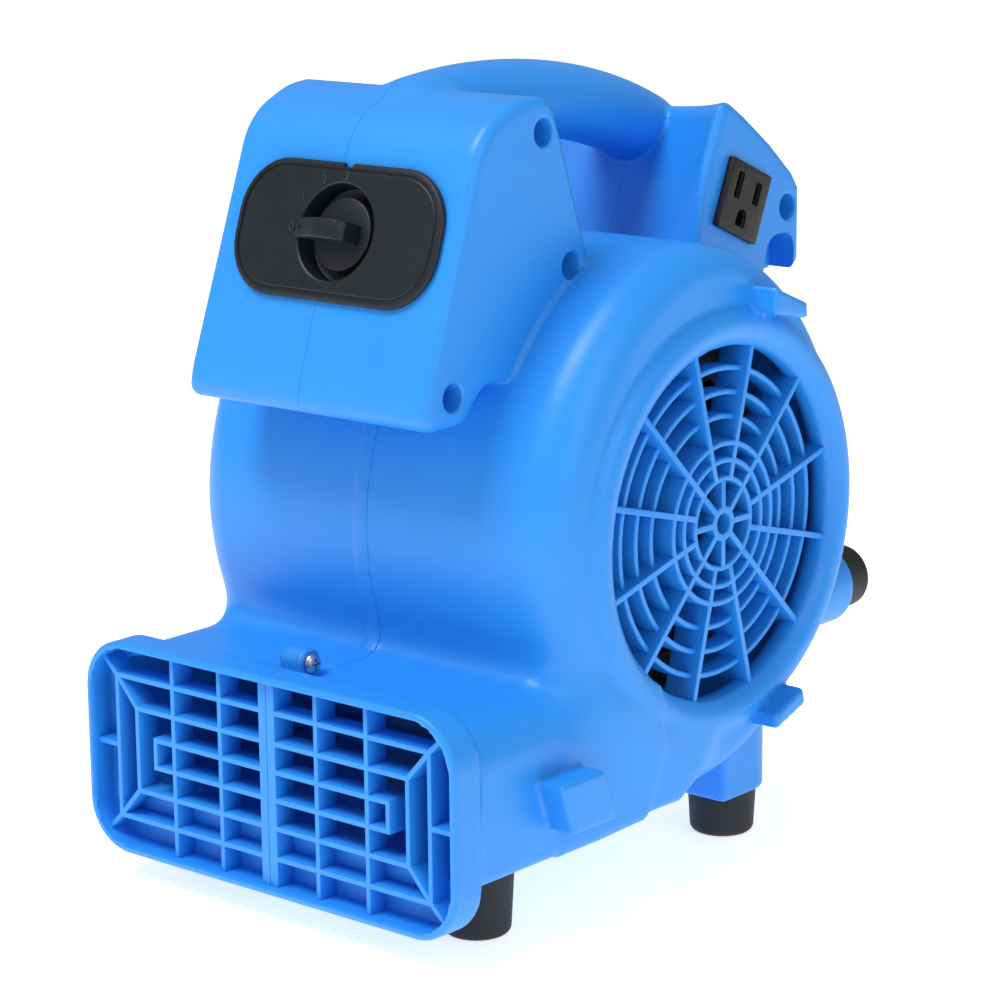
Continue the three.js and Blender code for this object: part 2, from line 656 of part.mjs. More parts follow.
const face = faceGroup();
machine.add(face);
place('switch_plate', switchPlate(), BLACK, face);
place('switch_knob', knob(), BLACK, face);
place('switch_spindle', post(3, -WELL.depth - 12, 1, 0, 0, 12), WHITE, face);
place('rotary_switch', without(
  block(-16, 16, -14, 14, -34, -WELL.depth - 1.8 - GAP), [post(3.2, -19, 0, 0, 0, 12)]), WHITE, face);
place('receptacle', receptacle(), BLACK);

function cordGland() {
  const { x, z, radius, hole } = GLAND;
  return barrel(radius, 244, 254.1, x, z).add(barrel(radius + 3, 254.1, 257.6, x, z))
    .subtract(barrel(hole, 230, 270, x, z, 16));
}
place('cord_gland', cordGland(), BLACK);

for (const screw of [...HOUSING_SCREWS, ...LUG_SCREWS]) {
  const mesh = place(`screw_${screw.name}`, screwBody(16), STEEL);
  mesh.position.set(screw.head + GAP, screw.y, screw.z);
}
MOTOR_POSTS.forEach(({ y, z }, i) => {
  const mesh = place(`screw_motor_bracket_${i + 1}`, screwBody(12), STEEL);
  mesh.position.set(BRACKET.x + BRACKET.thick / 2 + GAP, y, z);
});
for (const foot of FEET) {
  place(foot.name, atFoot(footBody(), foot), RUBBER);
  const downwards = screwBody(22).rotate([0, 90, 0]).translate([0, 0, SCREW_SEAT - GAP]);
  place(`screw_${foot.name}`, atFoot(downwards, foot), STEEL);
}

const { y: motorY, z: motorZ } = INTAKE;
place('fan_wheel', fanWheel(), BLACK);
place('fan_nut', turned([[6.2, 0], [9, 0], [9, 6], [6.2, 6], [6.2, 0]], motorY, motorZ, 6), STEEL)
  .position.set(FAN.web + 12 + GAP, 0, 0);
place('motor_shaft', rod(MOTOR.shaft, MOTOR.left - 3, FAN.web + 22, motorY, motorZ, 16), STEEL);
const rotorBore = MOTOR.shaft + GAP;
const rotor = ringBand((24 + rotorBore) / 2, 24 - rotorBore, -49, -23, motorY, motorZ, 24);
place('motor_rotor', rotor, DARK_STEEL);
place('motor_stator', ringBand(31, 12.4, -50, -22, motorY, motorZ, 24), DARK_STEEL);
place('motor_cap_left', endCap(MOTOR.left, -36 - GAP, 1), CASE);
place('motor_cap_right', endCap(MOTOR.right, -36, -1), CASE);
place('bearing_left', ringBand(8.1, 5.6, MOTOR.left + 2 + GAP, MOTOR.left + 9, motorY, motorZ, 20), STEEL);
place('bearing_right', ringBand(8.1, 5.6, MOTOR.right - 9, MOTOR.right - 2 - GAP, motorY, motorZ, 20), STEEL);
place('motor_bracket', motorBracket(), STEEL);
place('run_capacitor', rod(12, -52, -18, 90, 262, 20), WHITE);
place('wiring_loom', lead(LOOM.route, LOOM.radius, 20), RUBBER);

export default machine;
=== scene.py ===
"""Looks of a small blue air mover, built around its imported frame.

Shapes are worked out in millimetres in the machine's own planes, where Y 0 is the outlet's rim, Z 0 the
floor and X 0 the middle, and set in the row's frame, in metres, when a mesh is made.
"""
import json
import math

import bmesh
import bpy
import numpy as np
from mathutils import Matrix, Vector


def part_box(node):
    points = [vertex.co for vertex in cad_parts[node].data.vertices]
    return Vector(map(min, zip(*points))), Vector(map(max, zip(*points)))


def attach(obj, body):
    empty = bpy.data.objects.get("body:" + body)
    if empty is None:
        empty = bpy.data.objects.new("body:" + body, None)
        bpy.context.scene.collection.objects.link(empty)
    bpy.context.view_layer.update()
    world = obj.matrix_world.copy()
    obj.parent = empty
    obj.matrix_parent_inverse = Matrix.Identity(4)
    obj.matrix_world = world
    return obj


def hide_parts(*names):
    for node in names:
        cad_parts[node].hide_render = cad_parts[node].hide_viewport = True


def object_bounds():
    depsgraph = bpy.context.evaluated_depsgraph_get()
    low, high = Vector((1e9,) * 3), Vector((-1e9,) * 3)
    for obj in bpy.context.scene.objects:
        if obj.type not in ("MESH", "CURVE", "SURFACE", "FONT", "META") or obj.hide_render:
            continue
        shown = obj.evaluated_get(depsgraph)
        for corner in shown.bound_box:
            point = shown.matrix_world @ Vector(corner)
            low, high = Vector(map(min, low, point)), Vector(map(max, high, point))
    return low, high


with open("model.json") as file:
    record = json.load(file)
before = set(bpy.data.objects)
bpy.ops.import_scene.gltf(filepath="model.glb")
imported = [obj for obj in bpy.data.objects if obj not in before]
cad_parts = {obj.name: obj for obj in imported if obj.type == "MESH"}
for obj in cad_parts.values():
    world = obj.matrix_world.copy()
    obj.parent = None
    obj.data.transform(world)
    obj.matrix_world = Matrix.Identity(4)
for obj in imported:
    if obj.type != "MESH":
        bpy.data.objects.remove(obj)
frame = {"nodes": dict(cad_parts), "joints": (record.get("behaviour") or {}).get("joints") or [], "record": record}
cad_box = [list(corner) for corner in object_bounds()]

# ---------------------------------------------------------------- driving dimensions

MM = 0.001
DEPTH = (cad_box[1][1] - cad_box[0][1]) / MM
WALL = 3.0
SEAM = 0.07
VOXEL = 1.5

SIDE_X = 92.0
COLLAR = dict(half=93.2, bottom=11.5, top=95.0, depth=14.8, corner=20.0)
DUCT = dict(bottom=30.0, top=90.0, end=110.0, corner=19.0)
DUCT_FLOOR = [(60, 30), (84, 30), (131, 33.8), (150, 60), (60, 75)]
DRUM = dict(y=146.4, z=138.4, length=89.8, height=103.8, power=1.9)
DRUM_EDGE = dict(front=19.0, rear=4.5)

JOINTS = {joint["name"]: joint for joint in frame["joints"]}
SHAFT = JOINTS["fan_spin"]["pos_m"]
INTAKE = dict(y=SHAFT[1] / MM + DEPTH / 2, z=SHAFT[2] / MM, opening=68.0)
ROLL = dict(x=88.2, major=75.2, minor=7.8)
SPOKES = dict(outer=12, inner=8, thick=2.4, front=92.0, back=78.0)
RINGS = [(17.3, 92.0, 84.0), (24.2, 92.0, 84.0), (30.7, 92.0, 76.0), (40.4, 89.0, 80.0), (49.6, 89.0, 80.0),
         (58.8, 89.0, 80.0)]

RING_THICK = 2.2

BARS = dict(front=3.0, back=13.0, thick=2.0, middle=53.2)
BAR_STEPS = (5.4, 16.2, 27.8)
BAR_COLUMNS = (24.4, 49.0)
NESTS = [(59.0, 5.4), (68.5, 16.2), (78.9, 27.8)]

# The boxes on top. The switch box's left side stands further out, and leans out towards the bottom.
BOX_X = 57.0
BOX_LEFT = dict(x=59.3, z=285.0, flare=0.028)
FRONT_LOW = (29.0, 197.0)
FRONT_HIGH = (58.5, 284.0)
SWITCH_BOX = [(30, 187), (34, 186), (51, 186.5), (56, 193), (63, 199), (81, 198), (110, 216), (119.5, 226),
              (122, 232), (103.5, 286), (98, 299.5), (82, 299.5), (66, 292), FRONT_HIGH, FRONT_LOW, (28, 190)]
BOX_REAR = dict(y=122.0, z=232.0, slope=-0.343)
OUTLET_BOX = [(194, 289.5), (205, 288.5), (217, 281), (234, 269), (249.5, 256), (253.8, 250), (253.8, 221),
              (249, 217), (200, 217), (184, 228), (190, 270)]
CROWN = dict(rise=13.0, low=252.0, span=34.0)
SCOOP = dict(radius=80.0, y=207.0, z=247.0, lean=0.42)
POCKET = dict(outline=[(250, 190), (250, 233), (232.5, 233), (224, 190)], corner=11.0, x=45.0)
HANDLE = dict(half_width=17.5, half_height=14.7)
HANDLE_PATH = [(91, 289.4), (121.6, 294.4), (177.3, 293.5), (221.7, 273)]

# The switch plate's frame: Z runs out along the knob's axis, and X across the machine.
KNOB_PLACE = [value / MM for value in JOINTS["knob_turn"]["pos_m"]]
KNOB_AXIS = JOINTS["knob_turn"]["axis"]
FACE = dict(y=KNOB_PLACE[1] + DEPTH / 2, z=KNOB_PLACE[2], cos=-KNOB_AXIS[1], sin=KNOB_AXIS[2])
PLATE = dict(half_width=49.8, half_height=25.6, corner=21.0, proud=2.6)
WELL = dict(radius=17.8, wall=1.6, depth=6.5)
KNOB = dict(radius=13.8, bottom=-5.7, top=-1.1, bar=7.4, bar_top=10.4, reach=16.8)
MARKS = [("0", 180.0, 21.6), ("1", 149.0, 21.6), ("2", 118.0, 20.8), ("3", 88.0, 20.6)]
NUMERAL = dict(size=4.6, rise=0.2)

RECEPTACLE = dict(y=213.4, z=249.0, turn=-0.41, width=27.2, height=27.8, proud=2.8, step=3.5, back=46.0)
GLAND = dict(x=-30.0, z=236.0, radius=8.0, hole=4.0, front=244.0, wall=254.1, flange=11.0, back=257.6)

TABS = [
    [(45.3, 62.8), (69.8, 62.8), (77.7, 42.8), (52.7, 42.8)],
    [(175.8, 58.0), (193.5, 65.5), (194.8, 58.8), (175.0, 52.2)],
    [(173.0, 224.6), (193.0, 216.4), (193.6, 210.2), (172.6, 214.5)],
]
TAB = dict(face=104.0, root=80.0)

# The halves meet at one X on the boxes, at another on the scroll, where the left half carries a raised band,
# and in the middle of the collar.
SEAM_X = dict(box=-4.5, scroll=2.0, collar=0.0)
SEAM_ZONES = dict(box_front=60.0, box_bottom=186.5, handle_bottom=262.0, collar_back=32.0, collar_top=102.0)
BAND = dict(rise=0.6, bottom=86.0, front=38.0)

FEET_REAR = dict(x=65.2, y=193.0, boss=16.0, front=172.7, rim=19.0)
FEET_BACK = dict(x=74.5, z=92.0, boss=16.2, rim=247.0)
FOOT = dict(top=15.0, bottom=12.4, edge=3.0, height=29.7)

FAN = dict(outer=71.0, inner=57.0, half_width=60.0, web=9.0, blades=40, blade=1.3, sweep=0.17)
MOTOR = dict(radius=40.0, left=-64.0, right=-8.0, joint=-36.0, bore=6.0, seat=11.2)

COLUMNS = [(94.5, 286.5), (110.0, 236.5), (43.5, 197.5), (245.5, 243.0)]
COLUMN = dict(radius=8.2, bore=5.0, mouth=5.7, seat=8.0)
LUGS = [(25.0, 94.8, 87.0), (25.0, 24.0, 32.0)]
LUG = dict(radius=5.5, left=-9.0, right=2.0)

# ---------------------------------------------------------------- signed distances, which are negative inside


def smooth_min(a, b, k):
    h = np.maximum(k - np.abs(a - b), 0.0) / k
    return np.minimum(a, b) - h * h * k / 4


def smooth_max(a, b, k):
    return -smooth_min(-a, -b, k)


def polygon(points, y, z):
    """Distance to a closed outline in the side plane."""
    best = np.full(np.broadcast(y, z).shape, 1e9, np.float32)
    inside = np.zeros(best.shape, bool)
    for (y0, z0), (y1, z1) in zip(points, points[1:] + points[:1]):
        ey, ez = y1 - y0, z1 - z0
        t = np.clip(((y - y0) * ey + (z - z0) * ez) / (ey * ey + ez * ez), 0, 1)
        best = np.minimum(best, np.hypot(y - y0 - t * ey, z - z0 - t * ez))
        crosses = (z0 > z) != (z1 > z)
        if ez:
            inside ^= crosses & (y < y0 + (z - z0) / ez * ey)
    return np.where(inside, -best, best)


def path_distance(points, y, z):
    best = np.full(np.broadcast(y, z).shape, 1e9, np.float32)
    for (y0, z0), (y1, z1) in zip(points, points[1:]):
        ey, ez = y1 - y0, z1 - z0
        t = np.clip(((y - y0) * ey + (z - z0) * ez) / (ey * ey + ez * ez), 0, 1)
        best = np.minimum(best, np.hypot(y - y0 - t * ey, z - z0 - t * ez))
    return best


def corner_max(a, b, r):
    """The corner between two faces, rounded to radius r."""
    return np.hypot(np.maximum(a + r, 0), np.maximum(b + r, 0)) + np.minimum(np.maximum(a, b), -r)


def rounded_box(u, v, half_u, half_v, r):
    a, b = np.abs(u) - half_u + r, np.abs(v) - half_v + r
    return np.hypot(np.maximum(a, 0), np.maximum(b, 0)) + np.minimum(np.maximum(a, b), 0) - r


def bezier(points, count=24):
    t = np.linspace(0, 1, count + 1)[:, None]
    p = [np.array(point, float) for point in points]
    curve = (1 - t) ** 3 * p[0] + 3 * (1 - t) ** 2 * t * p[1] + 3 * (1 - t) * t**2 * p[2] + t**3 * p[3]
    return [tuple(point) for point in curve]


def rounded(points, radius, steps=4):
    """A closed outline with its corners rounded, as [u, v] points."""
    out = []
    count = len(points)
    for i in range(count):
        a, b, c = (np.array(points[(i + k) % count], float) for k in (-1, 0, 1))
        before, after = np.linalg.norm(a - b), np.linalg.norm(c - b)
        reach = min(radius, before / 2.2, after / 2.2)
        start, end = b + (a - b) / before * reach, b + (c - b) / after * reach
        for s in range(steps + 1):
            t = s / steps
            out.append(tuple((1 - t) ** 2 * start + 2 * t * (1 - t) * b + t * t * end))
    return out


SWITCH_OUTLINE = rounded(SWITCH_BOX, 7.0, 3)

# ---------------------------------------------------------------- the housing as one field


def drum_profile(y, z):
    u, v = (y - DRUM["y"]) / DRUM["length"], (z - DRUM["z"]) / DRUM["height"]
    au, av = np.abs(u) + 1e-4, np.abs(v) + 1e-4
    p = DRUM["power"]
    swell = (au**p + av**p) ** (1 / p)
    slope = swell ** (1 - p) * np.hypot(au ** (p - 1) / DRUM["length"], av ** (p - 1) / DRUM["height"])
    return (swell - 1) / slope


def drum(x, y, z, shrink=0.0):
    """The scroll. Its side edges are well rounded at the front and nearly square at the back."""
    front = 0.5 - 0.5 * (y - DRUM["y"]) / (np.hypot(y - DRUM["y"], z - DRUM["z"]) + 1.0)
    edge = DRUM_EDGE["rear"] + (DRUM_EDGE["front"] - DRUM_EDGE["rear"]) * front**0.8
    edge = np.maximum(edge - shrink, 1.0)
    return corner_max(drum_profile(y, z) + shrink, np.abs(x) - SIDE_X + shrink, edge)


def duct(x, y, z, shrink=0.0, start=5.0):
    half_height = (DUCT["top"] - DUCT["bottom"]) / 2 - shrink
    middle = (DUCT["top"] + DUCT["bottom"]) / 2
    upper = rounded_box(x, z - middle, SIDE_X - shrink, half_height, DUCT["corner"] - shrink)
    lower = rounded_box(x, z - middle + 12, SIDE_X - shrink, half_height - 12, 4.0)
    along = np.maximum(start - y, y - DUCT["end"])
    straight = np.maximum(np.minimum(upper, lower), along)
    sweep = corner_max(polygon(DUCT_FLOOR, y, z) + shrink, np.abs(x) - SIDE_X + shrink, 4.0)
    return smooth_min(straight, sweep, 3.0)


def collar(x, y, z, shrink=0.0, front=0.0, back=None):
    middle = (COLLAR["top"] + COLLAR["bottom"]) / 2
    half_height = (COLLAR["top"] - COLLAR["bottom"]) / 2 - shrink
    across = rounded_box(x, z - middle, COLLAR["half"] - shrink, half_height, COLLAR["corner"] - shrink)
    back = COLLAR["depth"] if back is None else back
    along = np.abs(y - (front + back) / 2) - (back - front) / 2
    return corner_max(across, along, 1.6)


def handle(x, y, z, shrink=0.0):
    a, b = HANDLE["half_width"] - shrink, HANDLE["half_height"] - shrink
    off = path_distance(bezier(HANDLE_PATH), y, z)
    swell = np.hypot(x / a, off / b) + 1e-6
    slope = np.hypot(x / a**2, off / b**2) / swell + 1e-6
    return (swell - 1) / slope


def scoop(x, y, z, grow=0.0):
    c, s = math.cos(SCOOP["lean"]), math.sin(SCOOP["lean"])
    centre = SCOOP["y"] - SCOOP["radius"] / c
    across = (y - centre) * c - (z - SCOOP["z"]) * s
    return np.hypot(x, across) - SCOOP["radius"] - grow


def pocket(x, y, z):
    """The open corner under the outlet box's right side."""
    return np.maximum(polygon(POCKET["outline"], y, z), POCKET["x"] - x)


def outlet_box(x, y, z, shrink=0.0):
    """Its top stands further back in the middle, where the handle runs into it."""
    middle = 1 - np.minimum(np.abs(x) / BOX_X, 1) ** 2
    back = y - CROWN["rise"] * middle * np.clip((z - CROWN["low"]) / CROWN["span"], 0, 1)
    side = np.abs(x) - BOX_X + shrink
    body = corner_max(polygon(OUTLET_BOX, back, z) + shrink, side, max(2.4 - shrink, 0.8))
    return smooth_max(body, -scoop(x, y, z, shrink), max(7.0 - 2 * shrink, 1.0))


def switch_box(x, y, z, shrink=0.0):
    """Its side edges are rounder at the front and the top than at the back."""
    left = BOX_LEFT["x"] + BOX_LEFT["flare"] * (BOX_LEFT["z"] - z)
    side = np.where(x > 0, x - BOX_X, -x - left)
    rear = BOX_REAR["y"] + BOX_REAR["slope"] * (z - BOX_REAR["z"])
    edge = 1.5 + 2.6 * np.clip((rear - y) / 9 - 0.3, 0, 1)
    return corner_max(polygon(SWITCH_OUTLINE, y, z) + shrink, side + shrink, np.maximum(edge - shrink, 0.8))


def well(x, y, z):
    """The hole in the switch box's face for the plate's cup."""
    along = FACE["sin"] * (z - FACE["z"]) - FACE["cos"] * (y - FACE["y"])
    up = FACE["sin"] * (y - FACE["y"]) + FACE["cos"] * (z - FACE["z"])
    return np.maximum(np.hypot(x, up) - WELL["radius"] - WELL["wall"] - 0.3, np.abs(along + 3.5) - 8.5)


def receptacle_hole(x, y, z):
    c, s = math.cos(RECEPTACLE["turn"]), math.sin(RECEPTACLE["turn"])
    across = (y - RECEPTACLE["y"]) * c + (z - RECEPTACLE["z"]) * s
    up = (z - RECEPTACLE["z"]) * c - (y - RECEPTACLE["y"]) * s
    half_width, half_height = (RECEPTACLE[k] / 2 - RECEPTACLE["step"] + 0.3 for k in ("width", "height"))
    return np.maximum(rounded_box(across, up, half_width, half_height, 1.0), RECEPTACLE["back"] - 1 - x)


def gland_hole(x, y, z):
    around = np.hypot(x - GLAND["x"], z - GLAND["z"]) - GLAND["radius"] - 0.3
    return np.maximum(around, GLAND["front"] - y)


def intake_roll(x, y, z):
    around = np.hypot(y - INTAKE["y"], z - INTAKE["z"])
    return np.hypot(around - ROLL["major"], np.abs(x) - ROLL["x"]) - ROLL["minor"]


def foot_bosses(x, y, z):
    rear, back = FEET_REAR, FEET_BACK
    stem = rounded_box(np.abs(x) - rear["x"], y - (rear["front"] + rear["y"]) / 2, rear["boss"],
                       (rear["y"] - rear["front"]) / 2, 2.0)
    barrel = np.hypot(np.abs(x) - rear["x"], y - rear["y"]) - rear["boss"]
    down = corner_max(np.minimum(stem, barrel), np.abs(z - 45) - (45 - rear["rim"]), 1.2)
    ring = np.hypot(np.abs(x) - back["x"], z - back["z"]) - back["boss"]
    shelf = rounded_box(np.abs(x) - back["x"], z - back["z"], 15.0, 8.0, 2.0)
    behind = corner_max(np.minimum(ring, shelf), np.abs(y - 225) - (back["rim"] - 225), 1.6)
    return np.minimum(down, behind)


def tabs(x, y, z):
    best = 1e9
    for corners in TABS:
        along = np.maximum(np.abs(x) - TAB["face"], TAB["root"] - np.abs(x))
        best = np.minimum(best, corner_max(polygon(corners, y, z), along, 1.2))
    return best


def air_path(x, y, z):
    rooms = smooth_min(drum(x, y, z, WALL), duct(x, y, z, WALL, 8.0), 8.0)
    mouth = collar(x, y, z, WALL, -10.0, COLLAR["depth"] - WALL)
    opening = np.hypot(y - INTAKE["y"], z - INTAKE["z"]) - INTAKE["opening"]
    windows = np.maximum(opening, 80 - np.abs(x))
    return np.minimum(np.minimum(rooms, mouth), windows)


def wiring_space(x, y, z):
    """The hollow of the boxes and the handle, closed off from the air path."""
    rooms = np.minimum(switch_box(x, y, z, WALL), outlet_box(x, y, z, WALL + 1.5))
    rooms = np.minimum(rooms, handle(x, y, z, WALL))
    return np.maximum(np.maximum(rooms, -drum(x, y, z)), WALL - pocket(x, y, z))


def columns(x, y, z, radius):
    best = 1e9
    for column_y, column_z in COLUMNS:
        best = np.minimum(best, np.hypot(y - column_y, z - column_z) - radius)
    return best


def lugs(x, y, z):
    """The ears that the collar's two screws draw together."""
    best = 1e9
    for lug_y, lug_z, root in LUGS:
        round_end = np.hypot(y - lug_y, z - lug_z) - LUG["radius"]
        height = np.abs(z - (lug_z + root) / 2) - abs(lug_z - root) / 2
        stem = np.maximum(np.abs(y - lug_y) - LUG["radius"], height)
        best = np.minimum(best, np.minimum(round_end, stem))
    middle, half = (LUG["right"] + LUG["left"]) / 2, (LUG["right"] - LUG["left"]) / 2
    return corner_max(best, np.abs(x - middle) - half, 1.0)


def housing(x, y, z):
    scroll = smooth_min(drum(x, y, z), duct(x, y, z), 16.0)
    middle, half = (SEAM_X["scroll"] + SEAM_X["box"]) / 2, (SEAM_X["scroll"] - SEAM_X["box"]) / 2
    ends = np.maximum(BAND["bottom"] - z, BAND["front"] - y)
    band = np.maximum(np.maximum(scroll - BAND["rise"], np.abs(x - middle) - half), ends)
    body = smooth_min(scroll, collar(x, y, z), 1.6)
    body = smooth_min(body, foot_bosses(x, y, z), 3.0)
    body = smooth_min(np.minimum(body, band), lugs(x, y, z), 1.0)
    top = smooth_min(switch_box(x, y, z), handle(x, y, z), 5.0)
    top = smooth_min(top, outlet_box(x, y, z), 1.6)
    body = smooth_min(body, top, 2.0)
    body = smooth_min(body, tabs(x, y, z), 1.4)
    body = np.maximum(body, -air_path(x, y, z))
    body = np.maximum(body, -wiring_space(x, y, z))
    posts = np.maximum(columns(x, y, z, COLUMN["radius"]), np.abs(x) - BOX_X + 1.5)
    body = smooth_min(body, posts, 1.0)
    body = smooth_min(body, intake_roll(x, y, z), 1.2)
    for hole in (well(x, y, z), receptacle_hole(x, y, z), gland_hole(x, y, z)):
        body = np.maximum(body, -hole)
    return body


# ---------------------------------------------------------------- from a field to a mesh


def surface_nets(field, corner, step):
    """One vertex for each cell that the surface crosses, and one quad for each grid edge that it crosses."""
    shape = np.array(field.shape) - 1
    cells, points, flips = [], [], []
    for axis in range(3):
        u, v = (axis + 1) % 3, (axis + 2) % 3
        low = np.take(field, range(field.shape[axis] - 1), axis)
        high = np.take(field, range(1, field.shape[axis]), axis)
        edge = np.argwhere((low < 0) != (high < 0))
        edge = edge[(edge[:, u] > 0) & (edge[:, v] > 0) & (edge[:, u] < shape[u]) & (edge[:, v] < shape[v])]
        a, b = low[tuple(edge.T)], high[tuple(edge.T)]
        point = edge.astype(float)
        point[:, axis] += a / (a - b)
        ring = []
        for du, dv in ((0, 0), (1, 0), (1, 1), (0, 1)):
            cell = edge.copy()
            cell[:, u] -= du
            cell[:, v] -= dv
            ring.append((cell[:, 0] * shape[1] + cell[:, 1]) * shape[2] + cell[:, 2])
        cells.append(np.stack(ring, 1))
        points.append(point)
        flips.append(a < 0)
    cells, points, flips = np.concatenate(cells), np.concatenate(points), np.concatenate(flips)
    _, index = np.unique(cells.ravel(), return_inverse=True)
    index = index.reshape(-1)
    count = np.bincount(index)
    spread = np.repeat(points, 4, axis=0)
    vertices = np.stack([np.bincount(index, spread[:, k]) / count for k in range(3)], 1)
    quads = index.reshape(-1, 4)
    quads[~flips] = quads[~flips][:, ::-1]
    return corner + vertices * step, quads


def slope_of(field, points, reach=0.15):
    slope = np.empty_like(points)
    for axis in range(3):
        shift = np.zeros(3)
        shift[axis] = reach
        ahead, behind = points + shift, points - shift
        slope[:, axis] = (field(*ahead.T) - field(*behind.T)) / (2 * reach)
    return slope


def settle(field, points, rounds=2):
    """Moves the points onto the surface, and no further than half a cell."""
    start = points.copy()
    for _ in range(rounds):
        slope = slope_of(field, points)
        steep = np.maximum((slope**2).sum(1), 0.2)
        points = points - slope * (field(*points.T) / steep)[:, None]
        points = start + np.clip(points - start, -VOXEL / 2, VOXEL / 2)
    return points


def mesh_of(name, vertices, faces):
    """A mesh in the row's frame, from millimetres in the machine's planes. All faces have as many corners."""
    mesh = bpy.data.meshes.new(name)
    placed = (np.asarray(vertices) - (0, DEPTH / 2, 0)) * MM
    faces = np.asarray(faces)
    sides = faces.shape[1]
    mesh.vertices.add(len(placed))
    mesh.vertices.foreach_set("co", placed.ravel())
    mesh.loops.add(faces.size)
    mesh.loops.foreach_set("vertex_index", faces.ravel())
    mesh.polygons.add(len(faces))
    mesh.polygons.foreach_set("loop_start", np.arange(len(faces)) * sides)
    mesh.update(calc_edges=True)
    mesh.validate()
    return mesh


def linked(name, mesh):
    piece = bpy.data.objects.new(name, mesh)
    bpy.context.scene.collection.objects.link(piece)
    return piece


def housing_mesh():
    low, high = np.array([-108.0, -4.0, 6.0]), np.array([108.0, 260.0, 312.0])
    counts = np.ceil((high - low) / VOXEL).astype(int) + 1
    ticks = [(low[k] + VOXEL * np.arange(counts[k], dtype=np.float32)).astype(np.float32) for k in range(3)]
    x, y, z = np.meshgrid(*ticks, indexing="ij", sparse=True)
    field = housing(x, y, z)
    vertices, quads = surface_nets(field, low, VOXEL)
    vertices = settle(housing, vertices)
    return mesh_of("housing_shell", vertices, quads)


# ---------------------------------------------------------------- small solids


def object_from(bm, name="work"):
    """Turns a bmesh in millimetres in the machine's planes into an object in the row's frame."""
    bmesh.ops.recalc_face_normals(bm, faces=bm.faces)
    mesh = bpy.data.meshes.new(name)
    bm.to_mesh(mesh)
    bm.free()
    mesh.transform(Matrix.Scale(MM, 4) @ Matrix.Translation((0, -DEPTH / 2, 0)))
    return linked(name, mesh)


def soften(bm, width, angle=40, segments=2):
    sharp = [e for e in bm.edges if len(e.link_faces) == 2 and e.calc_face_angle() > math.radians(angle)]
    bmesh.ops.bevel(bm, geom=sharp, offset=width, segments=segments, profile=0.5, affect="EDGES")


def block(x0, x1, y0, y1, z0, z1, bevel=0.0, turn=0.0):
    """A box, softened, and then turned about X at its middle."""
    bm = bmesh.new()
    bmesh.ops.create_cube(bm, size=1)
    bmesh.ops.scale(bm, vec=(x1 - x0, y1 - y0, z1 - z0), verts=bm.verts)
    if bevel:
        soften(bm, bevel)
    middle = Vector(((x0 + x1) / 2, (y0 + y1) / 2, (z0 + z1) / 2))
    bmesh.ops.transform(bm, matrix=Matrix.Translation(middle) @ Matrix.Rotation(turn, 4, "X"), verts=bm.verts)
    return bm


AXES = {
    "x": Matrix(((0, 0, 1), (1, 0, 0), (0, 1, 0))).to_4x4(),
    "y": Matrix(((1, 0, 0), (0, 0, 1), (0, -1, 0))).to_4x4(),
    "z": Matrix.Identity(4),
}


def turned(profile, centre=(0, 0, 0), axis="x", segments=64, closed=False):
    """A body of revolution about an axis through centre, from (radius, along) points."""
    bm = bmesh.new()
    rings = []
    for radius, along in profile:
        ring = []
        for i in range(segments):
            angle = 2 * math.pi * i / segments
            ring.append(bm.verts.new((radius * math.cos(angle), radius * math.sin(angle), along)))
        rings.append(ring)
    pairs = list(zip(rings, rings[1:] + rings[:1])) if closed else list(zip(rings, rings[1:]))
    for first, second in pairs:
        for i in range(segments):
            j = (i + 1) % segments
            bm.faces.new((first[i], first[j], second[j], second[i]))
    bmesh.ops.remove_doubles(bm, verts=bm.verts, dist=1e-5)
    bmesh.ops.dissolve_degenerate(bm, edges=bm.edges, dist=1e-5)
    bmesh.ops.transform(bm, matrix=Matrix.Translation(centre) @ AXES[axis], verts=bm.verts)
    return bm


def prism(outline, x0, x1, basis=None):
    """An outline of (u, v) points as a slab, from x0 to x1 along the third axis of basis."""
    bm = bmesh.new()
    low = [bm.verts.new((u, v, x0)) for u, v in outline]
    high = [bm.verts.new((u, v, x1)) for u, v in outline]
    bm.faces.new(low[::-1])
    bm.faces.new(high)
    for i in range(len(low)):
        j = (i + 1) % len(low)
        bm.faces.new((low[i], low[j], high[j], high[i]))
    if basis is not None:
        bmesh.ops.transform(bm, matrix=basis, verts=bm.verts)
    return bm


def applied(piece):
    """Applies a piece's modifiers to its mesh."""
    evaluated = piece.evaluated_get(bpy.context.evaluated_depsgraph_get())
    mesh = bpy.data.meshes.new_from_object(evaluated)
    piece.modifiers.clear()
    piece.data = mesh
    return piece


def combine(piece, others, operation):
    """Cuts, joins or intersects a piece with the others, which are used up."""
    for other in others:
        step = piece.modifiers.new("step", "BOOLEAN")
        step.operation = operation
        step.solver = "MANIFOLD"
        step.object = other
    bpy.context.view_layer.update()
    applied(piece)
    for other in others:
        bpy.data.objects.remove(other)
    return piece


def joined(bodies):
    pieces = [object_from(body) for body in bodies]
    return combine(pieces[0], pieces[1:], "UNION")


def carved(piece, bodies):
    return combine(piece, [object_from(body) for body in bodies], "DIFFERENCE")


def finish(piece, name, body, material, replaced=(), angle=35):
    piece.name = name
    piece.data.name = name
    piece.data.shade_smooth()
    piece.data.set_sharp_from_angle(angle=math.radians(angle))
    piece.data.materials.clear()
    piece.data.materials.append(material)
    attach(piece, body)
    if replaced:
        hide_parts(*replaced)
    return piece


# ---------------------------------------------------------------- materials


def new_material(name):
    material = bpy.data.materials.new(name)
    material.use_nodes = True
    nodes = material.node_tree.nodes
    return material, nodes, material.node_tree.links, nodes["Principled BSDF"]


